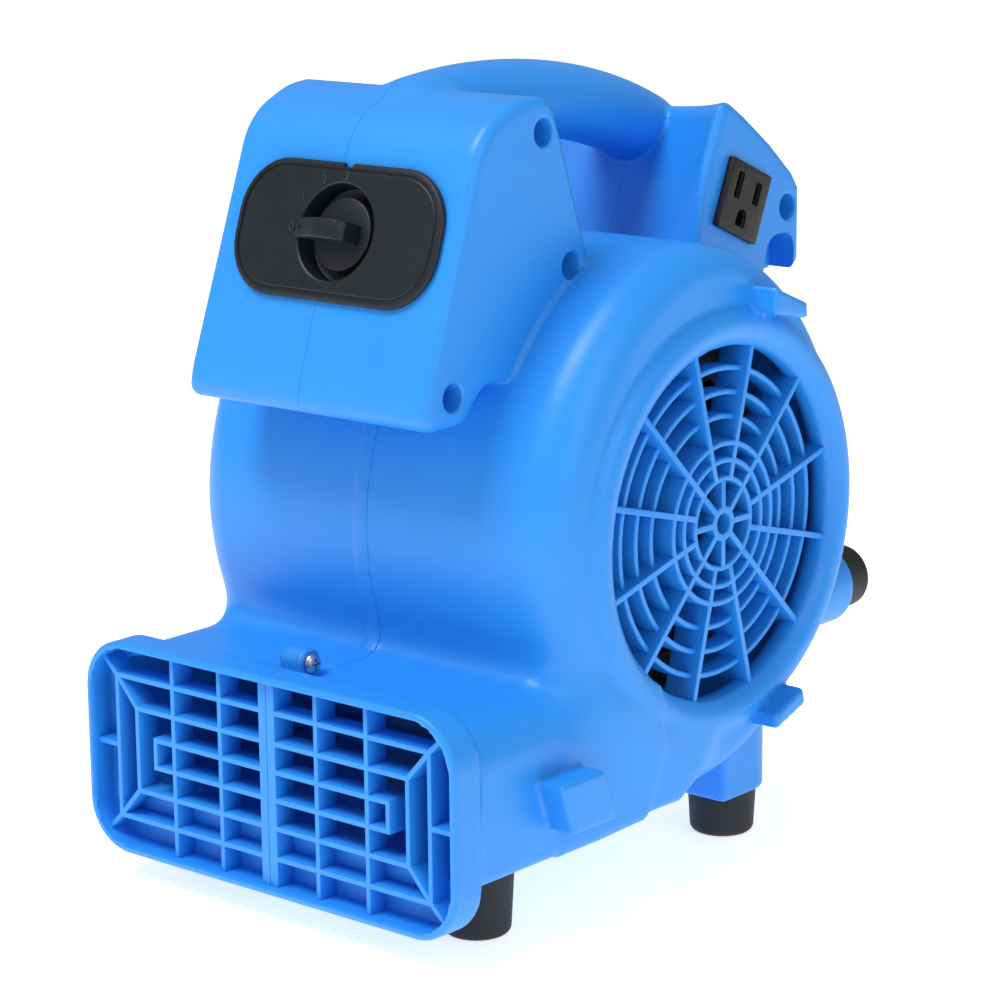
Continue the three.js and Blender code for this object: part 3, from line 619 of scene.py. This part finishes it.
def noise(nodes, links, scale, detail, seed):
    """Noise in the piece's own space, where scale counts features to a metre."""
    place = nodes.new("ShaderNodeTexCoord")
    texture = nodes.new("ShaderNodeTexNoise")
    texture.noise_dimensions = "4D"
    texture.inputs["Scale"].default_value = scale
    texture.inputs["Detail"].default_value = detail
    texture.inputs["W"].default_value = seed
    links.new(place.outputs["Object"], texture.inputs["Vector"])
    return texture.outputs["Fac"]


def spread(nodes, links, value, low, high):
    """Maps a noise's middle range onto low to high."""
    step = nodes.new("ShaderNodeMapRange")
    step.inputs["From Min"].default_value = 0.3
    step.inputs["From Max"].default_value = 0.7
    step.inputs["To Min"].default_value = low
    step.inputs["To Max"].default_value = high
    links.new(value, step.inputs["Value"])
    return step.outputs["Result"]


def moulded(name, dark, light, rough, grain=2600.0, bump=0.06, metallic=0.0, seed=1.0, gloss=0.5):
    """Moulded or cast stuff: a slow drift of colour and gloss, and a fine grain."""
    material, nodes, links, shader = new_material(name)
    ramp = nodes.new("ShaderNodeValToRGB")
    ramp.color_ramp.elements[0].position = 0.35
    ramp.color_ramp.elements[0].color = (*dark, 1)
    ramp.color_ramp.elements[1].position = 0.65
    ramp.color_ramp.elements[1].color = (*light, 1)
    links.new(noise(nodes, links, 14, 3, seed), ramp.inputs["Fac"])
    links.new(ramp.outputs["Color"], shader.inputs["Base Color"])
    links.new(spread(nodes, links, noise(nodes, links, 90, 4, seed + 3), rough[0], rough[1]),
              shader.inputs["Roughness"])
    shader.inputs["Metallic"].default_value = metallic
    shader.inputs["Specular IOR Level"].default_value = gloss
    bumps = nodes.new("ShaderNodeBump")
    bumps.inputs["Strength"].default_value = bump
    bumps.inputs["Distance"].default_value = 0.0004
    links.new(noise(nodes, links, grain, 2, seed + 7), bumps.inputs["Height"])
    links.new(bumps.outputs["Normal"], shader.inputs["Normal"])
    return material


BLUE = moulded("blue_plastic", (0.020, 0.262, 0.78), (0.023, 0.275, 0.81), (0.36, 0.43), bump=0.05, gloss=0.4)
BLACK = moulded("black_plastic", (0.006, 0.009, 0.014), (0.009, 0.012, 0.018), (0.40, 0.50), grain=3800,
                bump=0.12, gloss=0.35)
MARK_GREY = moulded("dial_marks", (0.030, 0.034, 0.040), (0.040, 0.044, 0.050), (0.42, 0.52))
OUTLET_BLACK = moulded("outlet_plastic", (0.006, 0.006, 0.006), (0.009, 0.009, 0.009), (0.36, 0.46),
                       grain=3800, gloss=0.3)
FAN_BLACK = moulded("fan_plastic", (0.010, 0.011, 0.013), (0.014, 0.015, 0.017), (0.45, 0.55))
RUBBER = moulded("foot_rubber", (0.004, 0.005, 0.006), (0.007, 0.008, 0.010), (0.55, 0.68), grain=1800,
                 bump=0.1)
ZINC = moulded("zinc_steel", (0.50, 0.52, 0.54), (0.60, 0.61, 0.62), (0.26, 0.40), grain=1500, metallic=1.0)
CORE = moulded("laminated_steel", (0.07, 0.07, 0.08), (0.10, 0.10, 0.11), (0.45, 0.6), metallic=0.7)
CASE = moulded("motor_case", (0.34, 0.35, 0.36), (0.42, 0.43, 0.44), (0.42, 0.55), grain=900, bump=0.2,
               metallic=0.8)
PALE = moulded("pale_plastic", (0.62, 0.62, 0.58), (0.68, 0.68, 0.64), (0.4, 0.5))
SHEATH = moulded("wire_sheath", (0.012, 0.012, 0.014), (0.02, 0.02, 0.022), (0.45, 0.6))

# ---------------------------------------------------------------- housing halves


def region(sign):
    """The space of one half, which ends SEAM short of where the halves meet."""
    gap = sign * SEAM
    zones = SEAM_ZONES
    box, scroll, collar_x = (SEAM_X[k] + gap for k in ("box", "scroll", "collar"))
    steps = [
        block(box, 130, -30, zones["box_front"] - gap, zones["box_bottom"] + gap, 340),
        block(box, 130, -30, 300, zones["handle_bottom"] + gap, 340),
        block(collar_x, 130, -30, zones["collar_back"] - gap, -20, zones["collar_top"] - gap),
    ]
    if sign > 0:
        return joined([block(scroll, 130, -30, 300, -20, 340), *steps])
    return carved(object_from(block(-130, scroll, -30, 300, -20, 340)), steps)


def side_cuts():
    """The counterbores for the screws in the right half, and the open corner under the outlet box."""
    radius, mouth, seat = (COLUMN[k] for k in ("bore", "mouth", "seat"))
    profile = [(0, seat), (radius, seat), (radius, BOX_X - 1.0), (radius + 0.2, BOX_X - 0.4),
               (mouth, BOX_X + 0.02), (mouth, BOX_X + 1), (0, BOX_X + 1)]
    cuts = [turned(profile, (0, y, z), "x", 48) for y, z in COLUMNS]
    corner = rounded(POCKET["outline"], POCKET["corner"], 8)
    return cuts + [prism(corner, POCKET["x"], BOX_X + 3, AXES["x"])]


def intake_grille(sign):
    y, z = INTAKE["y"], INTAKE["z"]
    bodies = []
    for radius, front, back in RINGS:
        inner, outer = radius - RING_THICK / 2, radius + RING_THICK / 2
        profile = rounded([(inner, back), (outer, back), (outer, front), (inner, front)], 0.8, 3)
        bodies.append(turned([(r, sign * x) for r, x in profile], (0, y, z), "x", 72, closed=True))
    hub = rounded([(4.0, 84), (6.8, 84), (6.8, 92), (4.0, 92)], 0.6, 2)
    bodies.append(turned([(r, sign * x) for r, x in hub], (0, y, z), "x", 32, closed=True))

    def spoke(start, end, back, angle):
        x0, x1 = sorted((sign * SPOKES["front"], sign * back))
        bm = block(x0, x1, -SPOKES["thick"] / 2, SPOKES["thick"] / 2, start, end, 0.35)
        turn = Matrix.Translation((0, y, z)) @ Matrix.Rotation(angle, 4, "X")
        bmesh.ops.transform(bm, matrix=turn, verts=bm.verts)
        return bm

    for i in range(SPOKES["outer"]):
        bodies.append(spoke(17.3, 73.0, SPOKES["back"], math.radians(15 + 360 / SPOKES["outer"] * i)))
    for i in range(SPOKES["inner"]):
        bodies.append(spoke(5.6, 17.3, 86.0, 2 * math.pi * i / SPOKES["inner"]))
    return joined(bodies)


def outlet_grille(sign):
    front, back, thick, middle = BARS["front"], BARS["back"], BARS["thick"], BARS["middle"]

    def bar(x0, x1, z0, z1):
        x0, x1 = sorted((sign * x0, sign * x1))
        return block(x0, x1, front, back, z0, z1, 0.3)

    bodies = [bar(SEAM, 4, 13, 93)]
    bodies += [bar(x - thick / 2, x + thick / 2, 13, 93) for x in BAR_COLUMNS]
    for (half_width, half_height), step in zip(NESTS, BAR_STEPS):
        for up in (1, -1):
            at = middle + up * step
            bodies.append(bar(SEAM, half_width + thick / 2, at - thick / 2, at + thick / 2))
        bodies.append(bar(half_width - thick / 2, half_width + thick / 2, middle - half_height - thick / 2,
                          middle + half_height + thick / 2))
    bodies.append(bar(NESTS[2][0], COLLAR["half"] - 2, middle - thick / 2, middle + thick / 2))
    half_height = (COLLAR["top"] - COLLAR["bottom"]) / 2
    rim = (COLLAR["half"] - 7.5, half_height - 7.5)
    for outer, inner in ((rim, NESTS[2]), (NESTS[2], NESTS[1])):
        for up in (1, -1):
            dx, dz = outer[0] - inner[0], outer[1] - inner[1]
            length = math.hypot(dx, dz)
            bm = block(-length / 2, length / 2, front, back, -thick / 2, thick / 2, 0.3)
            across, rise = (outer[0] + inner[0]) / 2, (outer[1] + inner[1]) / 2
            place = Matrix.Translation((sign * across, 0, middle + up * rise))
            turn = Matrix.Rotation(-math.atan2(up * dz, sign * dx), 4, "Y")
            bmesh.ops.transform(bm, matrix=place @ turn, verts=bm.verts)
            bodies.append(bm)
    return joined(bodies)


shell = linked("housing_shell", housing_mesh())
for sign, side in ((1, "right"), (-1, "left")):
    half = shell.copy()
    half.data = shell.data.copy()
    bpy.context.scene.collection.objects.link(half)
    combine(half, [region(sign)], "INTERSECT")
    if sign > 0:
        carved(half, side_cuts())
    finish(half, f"{side}_housing_shell", "housing", BLUE, (f"{side}_housing",), 55)
    finish(intake_grille(sign), f"{side}_intake_grille", "housing", BLUE)
    finish(outlet_grille(sign), f"{side}_outlet_grille", "housing", BLUE)
bpy.data.objects.remove(shell)

# ---------------------------------------------------------------- switch plate and knob

FACE_BASIS = Matrix((
    (1, 0, 0, 0),
    (0, FACE["sin"], -FACE["cos"], FACE["y"]),
    (0, FACE["cos"], FACE["sin"], FACE["z"]),
    (0, 0, 0, 1),
))
UPRIGHT = FACE_BASIS @ Matrix.Rotation(math.pi / 2, 4, "X")


def rounded_rectangle(half_width, half_height, corner, steps=8):
    points = []
    for quarter, (u, v) in enumerate(((1, 1), (-1, 1), (-1, -1), (1, -1))):
        for i in range(steps + 1):
            angle = math.pi / 2 * (quarter + i / steps)
            points.append((u * (half_width - corner) + corner * math.cos(angle),
                           v * (half_height - corner) + corner * math.sin(angle)))
    return points


def stacked(half_width, half_height, corner, levels, basis):
    """A rounded rectangle lofted through (inset, height) levels, and closed at both ends."""
    bm = bmesh.new()
    rings = []
    for inset, height in levels:
        outline = rounded_rectangle(half_width - inset, half_height - inset, max(corner - inset, 0.05))
        rings.append([bm.verts.new((u, v, height)) for u, v in outline])
    bm.faces.new(rings[0][::-1])
    bm.faces.new(rings[-1])
    for low, high in zip(rings, rings[1:]):
        for i in range(len(low)):
            j = (i + 1) % len(low)
            bm.faces.new((low[i], low[j], high[j], high[i]))
    bmesh.ops.transform(bm, matrix=basis, verts=bm.verts)
    return bm


def turned_on(basis, profile, segments=64):
    bm = turned(profile, (0, 0, 0), "z", segments)
    bmesh.ops.transform(bm, matrix=basis, verts=bm.verts)
    return bm


def switch_plate():
    top = PLATE["proud"]
    levels = [(0.5, 0.3), (0, 0.8), (0, top - 1.0), (0.5, top - 0.3), (1.2, top)]
    size = (PLATE["half_width"], PLATE["half_height"], PLATE["corner"])
    flange = stacked(*size, levels, FACE_BASIS)
    outer, inner = WELL["radius"] + WELL["wall"], WELL["radius"]
    floor = -WELL["depth"]
    cup = [(0, floor - 1.8), (outer - 0.5, floor - 1.8), (outer, floor - 1.3), (outer, 1.5), (0, 1.5)]
    hollow = [(0, floor), (inner - 0.9, floor), (inner - 0.3, floor + 0.3), (inner, floor + 0.9),
              (inner, top - 1.2), (inner + 0.3, top - 0.5), (inner + 1.4, top + 0.3), (inner + 1.4, top + 2),
              (0, top + 2)]
    stem = [(0, floor - 4), (5, floor - 4), (5, floor + 2), (0, floor + 2)]
    groove = stacked(*size, [(2.4, top - 0.45), (2.4, top + 1)], FACE_BASIS)
    raised = stacked(*size, [(3.4, top - 2), (3.4, top - 0.25), (3.8, top)], FACE_BASIS)
    piece = carved(object_from(flange), [groove])
    combine(piece, [object_from(raised), object_from(turned_on(FACE_BASIS, cup))], "UNION")
    edge = PLATE["half_height"]
    notch = [(-2.2, edge - 1.6), (2.2, edge - 1.6), (3.0, edge + 2), (-3.0, edge + 2)]
    return carved(piece, [turned_on(FACE_BASIS, hollow), turned_on(FACE_BASIS, stem, 32),
                          prism(notch, -1, top + 2, FACE_BASIS)])


def dial_numerals():
    """Raised figures round the well, as one piece."""
    bm = bmesh.new()
    for text, degrees, radius in MARKS:
        curve = bpy.data.curves.new("figure", "FONT")
        curve.body = text
        curve.size = NUMERAL["size"]
        curve.extrude = NUMERAL["rise"]
        curve.align_x = "CENTER"
        curve.align_y = "CENTER"
        figure = bpy.data.objects.new("figure", curve)
        bpy.context.scene.collection.objects.link(figure)
        bpy.context.view_layer.update()
        evaluated = figure.evaluated_get(bpy.context.evaluated_depsgraph_get())
        mesh = bpy.data.meshes.new_from_object(evaluated)
        bpy.data.objects.remove(figure)
        angle = math.radians(degrees)
        place = (radius * math.cos(angle), radius * math.sin(angle), PLATE["proud"] + NUMERAL["rise"] - 0.1)
        mesh.transform(FACE_BASIS @ Matrix.Translation(place))
        bm.from_mesh(mesh)
    return object_from(bm)


def switch_knob():
    radius, bottom, top = KNOB["radius"], KNOB["bottom"], KNOB["top"]
    disc = [(0, bottom), (radius - 0.5, bottom), (radius, bottom + 0.5), (radius, top - 1.0),
            (radius - 0.3, top - 0.3), (radius - 1.0, top), (0, top)]
    high, tip = KNOB["bar_top"], -KNOB["reach"]
    low = PLATE["proud"] + 0.8
    side = [(2 - radius, -3), (9, -3), (9, 7.5), (6.5, high), (-4, high), (1 - radius, low + 2.8),
            (tip, low + 2.2), (tip, low), (2 - radius, low)]
    bar = prism(side, -KNOB["bar"] / 2, KNOB["bar"] / 2, UPRIGHT)
    soften(bar, 0.7, 25, 3)
    piece = joined([turned_on(FACE_BASIS, disc), bar])
    near_tip = FACE_BASIS @ Matrix.Translation((tip + 2.2, 0, 0))
    dot = turned_on(near_tip, [(0, low + 2), (0.7, low + 2), (0.7, 12), (0, 12)], 16)
    spindle = turned_on(FACE_BASIS, [(0, -12), (3.3, -12), (3.3, 2), (0, 2)], 24)
    return carved(piece, [dot, spindle])


finish(switch_plate(), "dial_plate", "housing", BLACK, ("switch_plate",), 30)
finish(dial_numerals(), "dial_numerals", "housing", MARK_GREY)
finish(switch_knob(), "pointer_knob", "knob", BLACK, ("switch_knob",), 40)

# ---------------------------------------------------------------- outlet and cord gland


def outlet_basis():
    c, s = math.cos(RECEPTACLE["turn"]), math.sin(RECEPTACLE["turn"])
    return Matrix(((0, 0, 1, 0), (c, -s, 0, RECEPTACLE["y"]), (s, c, 0, RECEPTACLE["z"]), (0, 0, 0, 1)))


def mains_outlet():
    """A grounded outlet: two blade slots and a ground hole, each with a lead-in."""
    basis = outlet_basis()
    half_width, half_height, step = RECEPTACLE["width"] / 2, RECEPTACLE["height"] / 2, RECEPTACLE["step"]
    face = BOX_X + RECEPTACLE["proud"]
    levels = [(0.2, BOX_X + 0.05), (0, BOX_X + 0.3), (0, face - 0.5), (0.2, face - 0.15), (0.6, face)]
    flange = stacked(half_width, half_height, 0.9, levels, basis)
    levels = [(0, RECEPTACLE["back"]), (0, face - 1)]
    body = stacked(half_width - step, half_height - step, 1.0, levels, basis)
    piece = joined([flange, body])
    slots = []
    for across, up, width, height in ((-6.35, 4.6, 2.6, 9.4), (6.35, 4.6, 2.6, 7.8)):
        place = basis @ Matrix.Translation((across, up, 0))
        levels = [(0, face - 8), (0, face - 1.4), (-0.6, face - 0.5), (-0.8, face + 1)]
        slots.append(stacked(width / 2, height / 2, 0.2, levels, place))
    ground = basis @ Matrix.Translation((0, -6.6, 0))
    hole = [(0, face - 8), (2.5, face - 8), (2.5, face - 1.2), (3.1, face - 0.4), (3.3, face + 1),
            (0, face + 1)]
    slots.append(turned_on(ground, hole, 32))
    levels = [(0, face - 8), (0, face - 1.2), (-0.6, face - 0.4), (-0.8, face + 1)]
    slots.append(stacked(2.5, 1.6, 0.2, levels, basis @ Matrix.Translation((0, -8.2, 0))))
    return carved(piece, slots)


def gland():
    """A bushing with a rounded flange round the cord's hole."""
    radius, hole, front, wall = (GLAND[k] for k in ("radius", "hole", "front", "wall"))
    flange, back = GLAND["flange"], GLAND["back"]
    profile = [(hole, front), (radius - 0.8, front), (radius, front + 0.8), (radius, wall),
               (flange - 0.4, wall), (flange, wall + 0.5), (flange, back - 1.2),
               (flange - 1.0, back - 0.2), (flange - 2, back),
               (hole + 2.4, back), (hole + 2.0, back - 0.8), (hole + 0.6, back - 0.8), (hole, back - 1.6)]
    return object_from(turned(profile, (GLAND["x"], 0, GLAND["z"]), "y", 48, closed=True))


finish(mains_outlet(), "mains_outlet", "housing", OUTLET_BLACK, ("receptacle",), 30)
finish(gland(), "cord_bushing", "housing", BLACK, ("cord_gland",), 30)

# ---------------------------------------------------------------- feet and screws


def corners_of(node):
    """A CAD node's lowest and highest corners, in millimetres in the machine's planes."""
    low, high = (np.array(corner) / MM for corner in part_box(node))
    low[1], high[1] = low[1] + DEPTH / 2, high[1] + DEPTH / 2
    return low, high


def foot():
    """A rubber foot that points down from its base at the origin."""
    top, bottom, edge, height = (FOOT[k] for k in ("top", "bottom", "edge", "height"))
    profile = [(2.4, 0), (top - 0.5, 0), (top, -0.5), (top, -2.2), (top - 0.9, -3.0)]
    for i in range(6):
        t = i / 5
        profile.append((top - 1.0 + (bottom + 1.3 - top) * t, -3.4 + (edge + 3.6 - height) * t))
    for i in range(7):
        angle = math.pi / 2 * i / 6
        out = bottom + 0.3 - edge + edge * math.cos(angle)
        profile.append((out, -height + edge - edge * math.sin(angle)))
    profile += [(6.6, -height), (6.0, -height + 0.6), (6.0, -10.4), (5.6, -10.0), (2.4, -10.0)]
    return turned(profile, (0, 0, 0), "z", 56, closed=True)


def screw(shank, head=3.8, height=2.4):
    """A pan-head screw along Z, with the seat of its head at the origin and its shank below."""
    profile = [(0, -shank), (0.5, -shank + 0.6)]
    turns = int((shank - 3) / 1.4)
    for i in range(turns):
        low = -shank + 1.2 + 1.4 * i
        profile += [(1.35 if i else 0.9, low), (1.95 if i else 1.3, low + 0.5), (1.95, low + 0.7)]
    profile += [(1.4, -1.4), (1.4, -0.4), (2.0, 0), (head - 0.2, 0), (head, 0.3)]
    for i in range(6):
        angle = math.pi / 2 * i / 5
        profile.append((head * math.cos(angle) ** 0.55, 0.6 + (height - 0.6) * math.sin(angle)))
    middle = DEPTH / 2
    body = object_from(turned(profile, (0, middle, 0), "z", 28))
    cuts = []
    for half_x, half_y in ((2.1, 0.42), (0.42, 2.1)):
        cuts.append(block(-half_x, half_x, middle - half_y, middle + half_y, height - 1.5, height + 1, 0.1))
    mesh = carved(body, cuts).data
    bpy.data.objects.remove(body)
    return mesh


TOWARDS = {"x": Matrix.Rotation(math.pi / 2, 4, "Y"), "down": Matrix.Rotation(math.pi, 4, "X"),
           "back": Matrix.Rotation(-math.pi / 2, 4, "X")}


def set_screw(node, mesh, way, head=2.4):
    """Places a screw with its head's seat where the CAD screw has it, for a head of this height."""
    low, high = corners_of(node)
    middle = (low + high) / 2
    if way == "x":
        middle[0] = high[0] - head
    elif way == "down":
        middle[2] = low[2] + head
    else:
        middle[1] = high[1] - head
    middle[1] -= DEPTH / 2
    piece = linked(node, mesh.copy())
    piece.data.transform(Matrix.Translation(Vector(middle) * MM) @ TOWARDS[way])
    finish(piece, node.replace("screw_", "") + "_screw", "housing", ZINC, (node,), 30)


SCREWS = {"long": screw(16), "short": screw(12), "foot": screw(22)}
for node in list(frame["nodes"]):
    if node.startswith("foot_"):
        low, high = corners_of(node)
        body = foot()
        if "back" in node:
            turn = Matrix.Rotation(math.pi / 2, 4, "X")
            base = ((low[0] + high[0]) / 2, low[1], (low[2] + high[2]) / 2)
        else:
            turn = Matrix.Identity(4)
            base = ((low[0] + high[0]) / 2, (low[1] + high[1]) / 2, high[2])
        bmesh.ops.transform(body, matrix=Matrix.Translation(base) @ turn, verts=body.verts)
        piece = object_from(body)
        finish(piece, node.replace("foot_", "rubber_foot_"), "housing", RUBBER, (node,), 40)
    elif node.startswith("screw_foot_"):
        set_screw(node, SCREWS["foot"], "back" if "back" in node else "down")
    elif node.startswith("screw_motor_"):
        set_screw(node, SCREWS["short"], "x")
    elif node.startswith("screw_"):
        set_screw(node, SCREWS["long"], "x")

# ---------------------------------------------------------------- fan and motor

AXLE = (0, INTAKE["y"], INTAKE["z"])


def fan_blade(angle):
    """A curved blade between the cage's two radii, which thins towards its tip."""
    inner, outer, thick = FAN["inner"] - 1, FAN["outer"] - 0.4, FAN["blade"]
    front, back = [], []
    for i in range(9):
        t = i / 8
        radius = inner + (outer - inner) * t
        lean = angle + FAN["sweep"] * t**1.7
        front.append((radius * math.cos(lean), radius * math.sin(lean)))
        lean += thick / radius * (1 - 0.35 * t)
        back.append((radius * math.cos(lean), radius * math.sin(lean)))
    half = FAN["half_width"] - 0.8
    return prism(front + back[::-1], -half, half, Matrix.Translation(AXLE) @ AXES["x"])


def fan_wheel():
    inner, outer, half, web = FAN["inner"], FAN["outer"], FAN["half_width"], FAN["web"]
    bodies = [fan_blade(2 * math.pi * i / FAN["blades"]) for i in range(FAN["blades"])]
    for x0, x1 in ((-half, -half + 2.6), (half - 2.6, half)):
        ring = rounded([(inner + 0.4, x0), (outer, x0), (outer, x1), (inner + 0.4, x1)], 0.8, 3)
        bodies.append(turned(ring, AXLE, "x", 96, closed=True))
    back = [(5.2, web - 12), (13, web - 12), (14, web - 11), (14.5, web - 3), (16, web - 1.5),
            (inner + 3, web - 1.5)]
    disc = back + [(radius, 2 * web - x) for radius, x in back[::-1]]
    bodies.append(turned(disc, AXLE, "x", 64, closed=True))
    return joined(bodies)


def lathe_piece(node, profile, body, material):
    piece = object_from(turned(rounded(profile, 0.7, 2), AXLE, "x", 72, closed=True))
    finish(piece, f"turned_{node}", body, material, (node,), 30)


def motor_cap(closed, opened, way):
    """One cup of the motor's case, as its profile round the shaft."""
    radius, bore, seat = MOTOR["radius"], MOTOR["bore"], MOTOR["seat"]
    return [(bore, closed), (14, closed), (17, closed + 2.2 * way), (radius - 5, closed + 2.2 * way),
            (radius - 1.2, closed + 3.4 * way), (radius, closed + 6 * way), (radius, opened),
            (radius - 2.5, opened),
            (radius - 2.5, closed + 6.5 * way), (14.2, closed + 6 * way), (14, closed + 9 * way),
            (seat, closed + 9 * way), (seat, closed + 2 * way), (bore, closed + 2 * way)]


finish(fan_wheel(), "blower_wheel", "fan_rotor", FAN_BLACK, ("fan_wheel",), 30)
left, right, joint = MOTOR["left"], MOTOR["right"], MOTOR["joint"]
lathe_piece("motor_cap_left", motor_cap(left, joint - 0.3, 1), "housing", CASE)
lathe_piece("motor_cap_right", motor_cap(right, joint, -1), "housing", CASE)
for node, rider, inner, outer, x0, x1 in (("motor_stator", "housing", 24.8, 37.2, -50, -22),
                                          ("motor_rotor", "fan_rotor", 5.3, 24.0, -49, -23)):
    ring = [(inner, x0), (outer, x0), (outer, x1), (inner, x1)]
    lathe_piece(node, ring, rider, CORE)
for node, x0, x1 in (("bearing_left", left + 2.3, left + 9), ("bearing_right", right - 9, right - 2.3)):
    lathe_piece(node, [(5.3, x0), (10.9, x0), (10.9, x1), (5.3, x1)], "housing", ZINC)

# ---------------------------------------------------------------- the CAD nodes that stay

SLOTS = {"blue_plastic": BLUE, "black_plastic": BLACK, "fan_plastic": FAN_BLACK, "foot_rubber": RUBBER,
         "zinc_steel": ZINC, "laminated_steel": CORE, "motor_case": CASE, "pale_plastic": PALE,
         "wire_sheath": SHEATH}
for part in frame["record"]["subparts"]:
    node = frame["nodes"][part["node"]]
    if not node.hide_render:
        node.data.materials.clear()
        node.data.materials.append(SLOTS[part["material_slot"]])

# ---------------------------------------------------------------- stage, light and camera

ROOM = dict(backdrop=1.05, fill=0.36, floor_glow=0.68)
CAMERA = dict(azimuth=40.464, elevation=13.061, roll=-0.558, lens=116.38, place=(0.7957, -0.9297, 0.4202))


def camera():
    a, e, roll = (math.radians(CAMERA[k]) for k in ("azimuth", "elevation", "roll"))
    back = Vector((math.sin(a) * math.cos(e), -math.cos(a) * math.cos(e), math.sin(e)))
    level = Vector((math.cos(a), math.sin(a), 0))
    rise = back.cross(level)
    right = math.cos(roll) * level + math.sin(roll) * rise
    up = back.cross(right)
    data = bpy.data.cameras.new("camera")
    data.lens = CAMERA["lens"]
    data.sensor_width = 36
    view = bpy.data.objects.new("camera", data)
    view.matrix_world = Matrix.Translation(CAMERA["place"]) @ Matrix((right, up, back)).transposed().to_4x4()
    bpy.context.scene.collection.objects.link(view)
    bpy.context.scene.camera = view


def softbox(name, place, target, size, power):
    data = bpy.data.lights.new(name, "AREA")
    data.shape = "RECTANGLE"
    data.size, data.size_y = size
    data.energy = power
    light = bpy.data.objects.new(name, data)
    light.location = place
    light.rotation_euler = (Vector(target) - Vector(place)).to_track_quat("-Z", "Y").to_euler()
    bpy.context.scene.collection.objects.link(light)


def stage():
    bm = bmesh.new()
    bmesh.ops.create_grid(bm, x_segments=1, y_segments=1, size=6)
    mesh = bpy.data.meshes.new("floor")
    bm.to_mesh(mesh)
    bm.free()
    floor = linked("floor", mesh)
    paint = moulded("floor_paint", (0.94, 0.94, 0.94), (0.96, 0.96, 0.96), (0.6, 0.7), grain=400)
    shader = paint.node_tree.nodes["Principled BSDF"]
    shader.inputs["Emission Color"].default_value = (1, 1, 1, 1)
    shader.inputs["Emission Strength"].default_value = ROOM["floor_glow"]
    floor.data.materials.append(paint)
    world = bpy.data.worlds.new("studio")
    world.use_nodes = True
    nodes, links = world.node_tree.nodes, world.node_tree.links
    nodes["Background"].inputs["Strength"].default_value = ROOM["backdrop"]
    fill = nodes.new("ShaderNodeBackground")
    fill.inputs["Strength"].default_value = ROOM["fill"]
    for background in (nodes["Background"], fill):
        background.inputs["Color"].default_value = (1, 1, 1, 1)
    seen, choice = nodes.new("ShaderNodeLightPath"), nodes.new("ShaderNodeMixShader")
    links.new(seen.outputs["Is Camera Ray"], choice.inputs["Fac"])
    links.new(fill.outputs["Background"], choice.inputs[1])
    links.new(nodes["Background"].outputs["Background"], choice.inputs[2])
    links.new(choice.outputs["Shader"], nodes["World Output"].inputs["Surface"])
    bpy.context.scene.world = world
    bpy.context.scene.view_settings.view_transform = "Standard"


camera()
stage()
softbox("key", (-0.4, -1.25, 2.6), (0, 0, 0.15), (1.2, 1.2), 62)
softbox("side", (2.0, -0.6, 1.2), (0, 0, 0.15), (1.0, 1.4), 10)
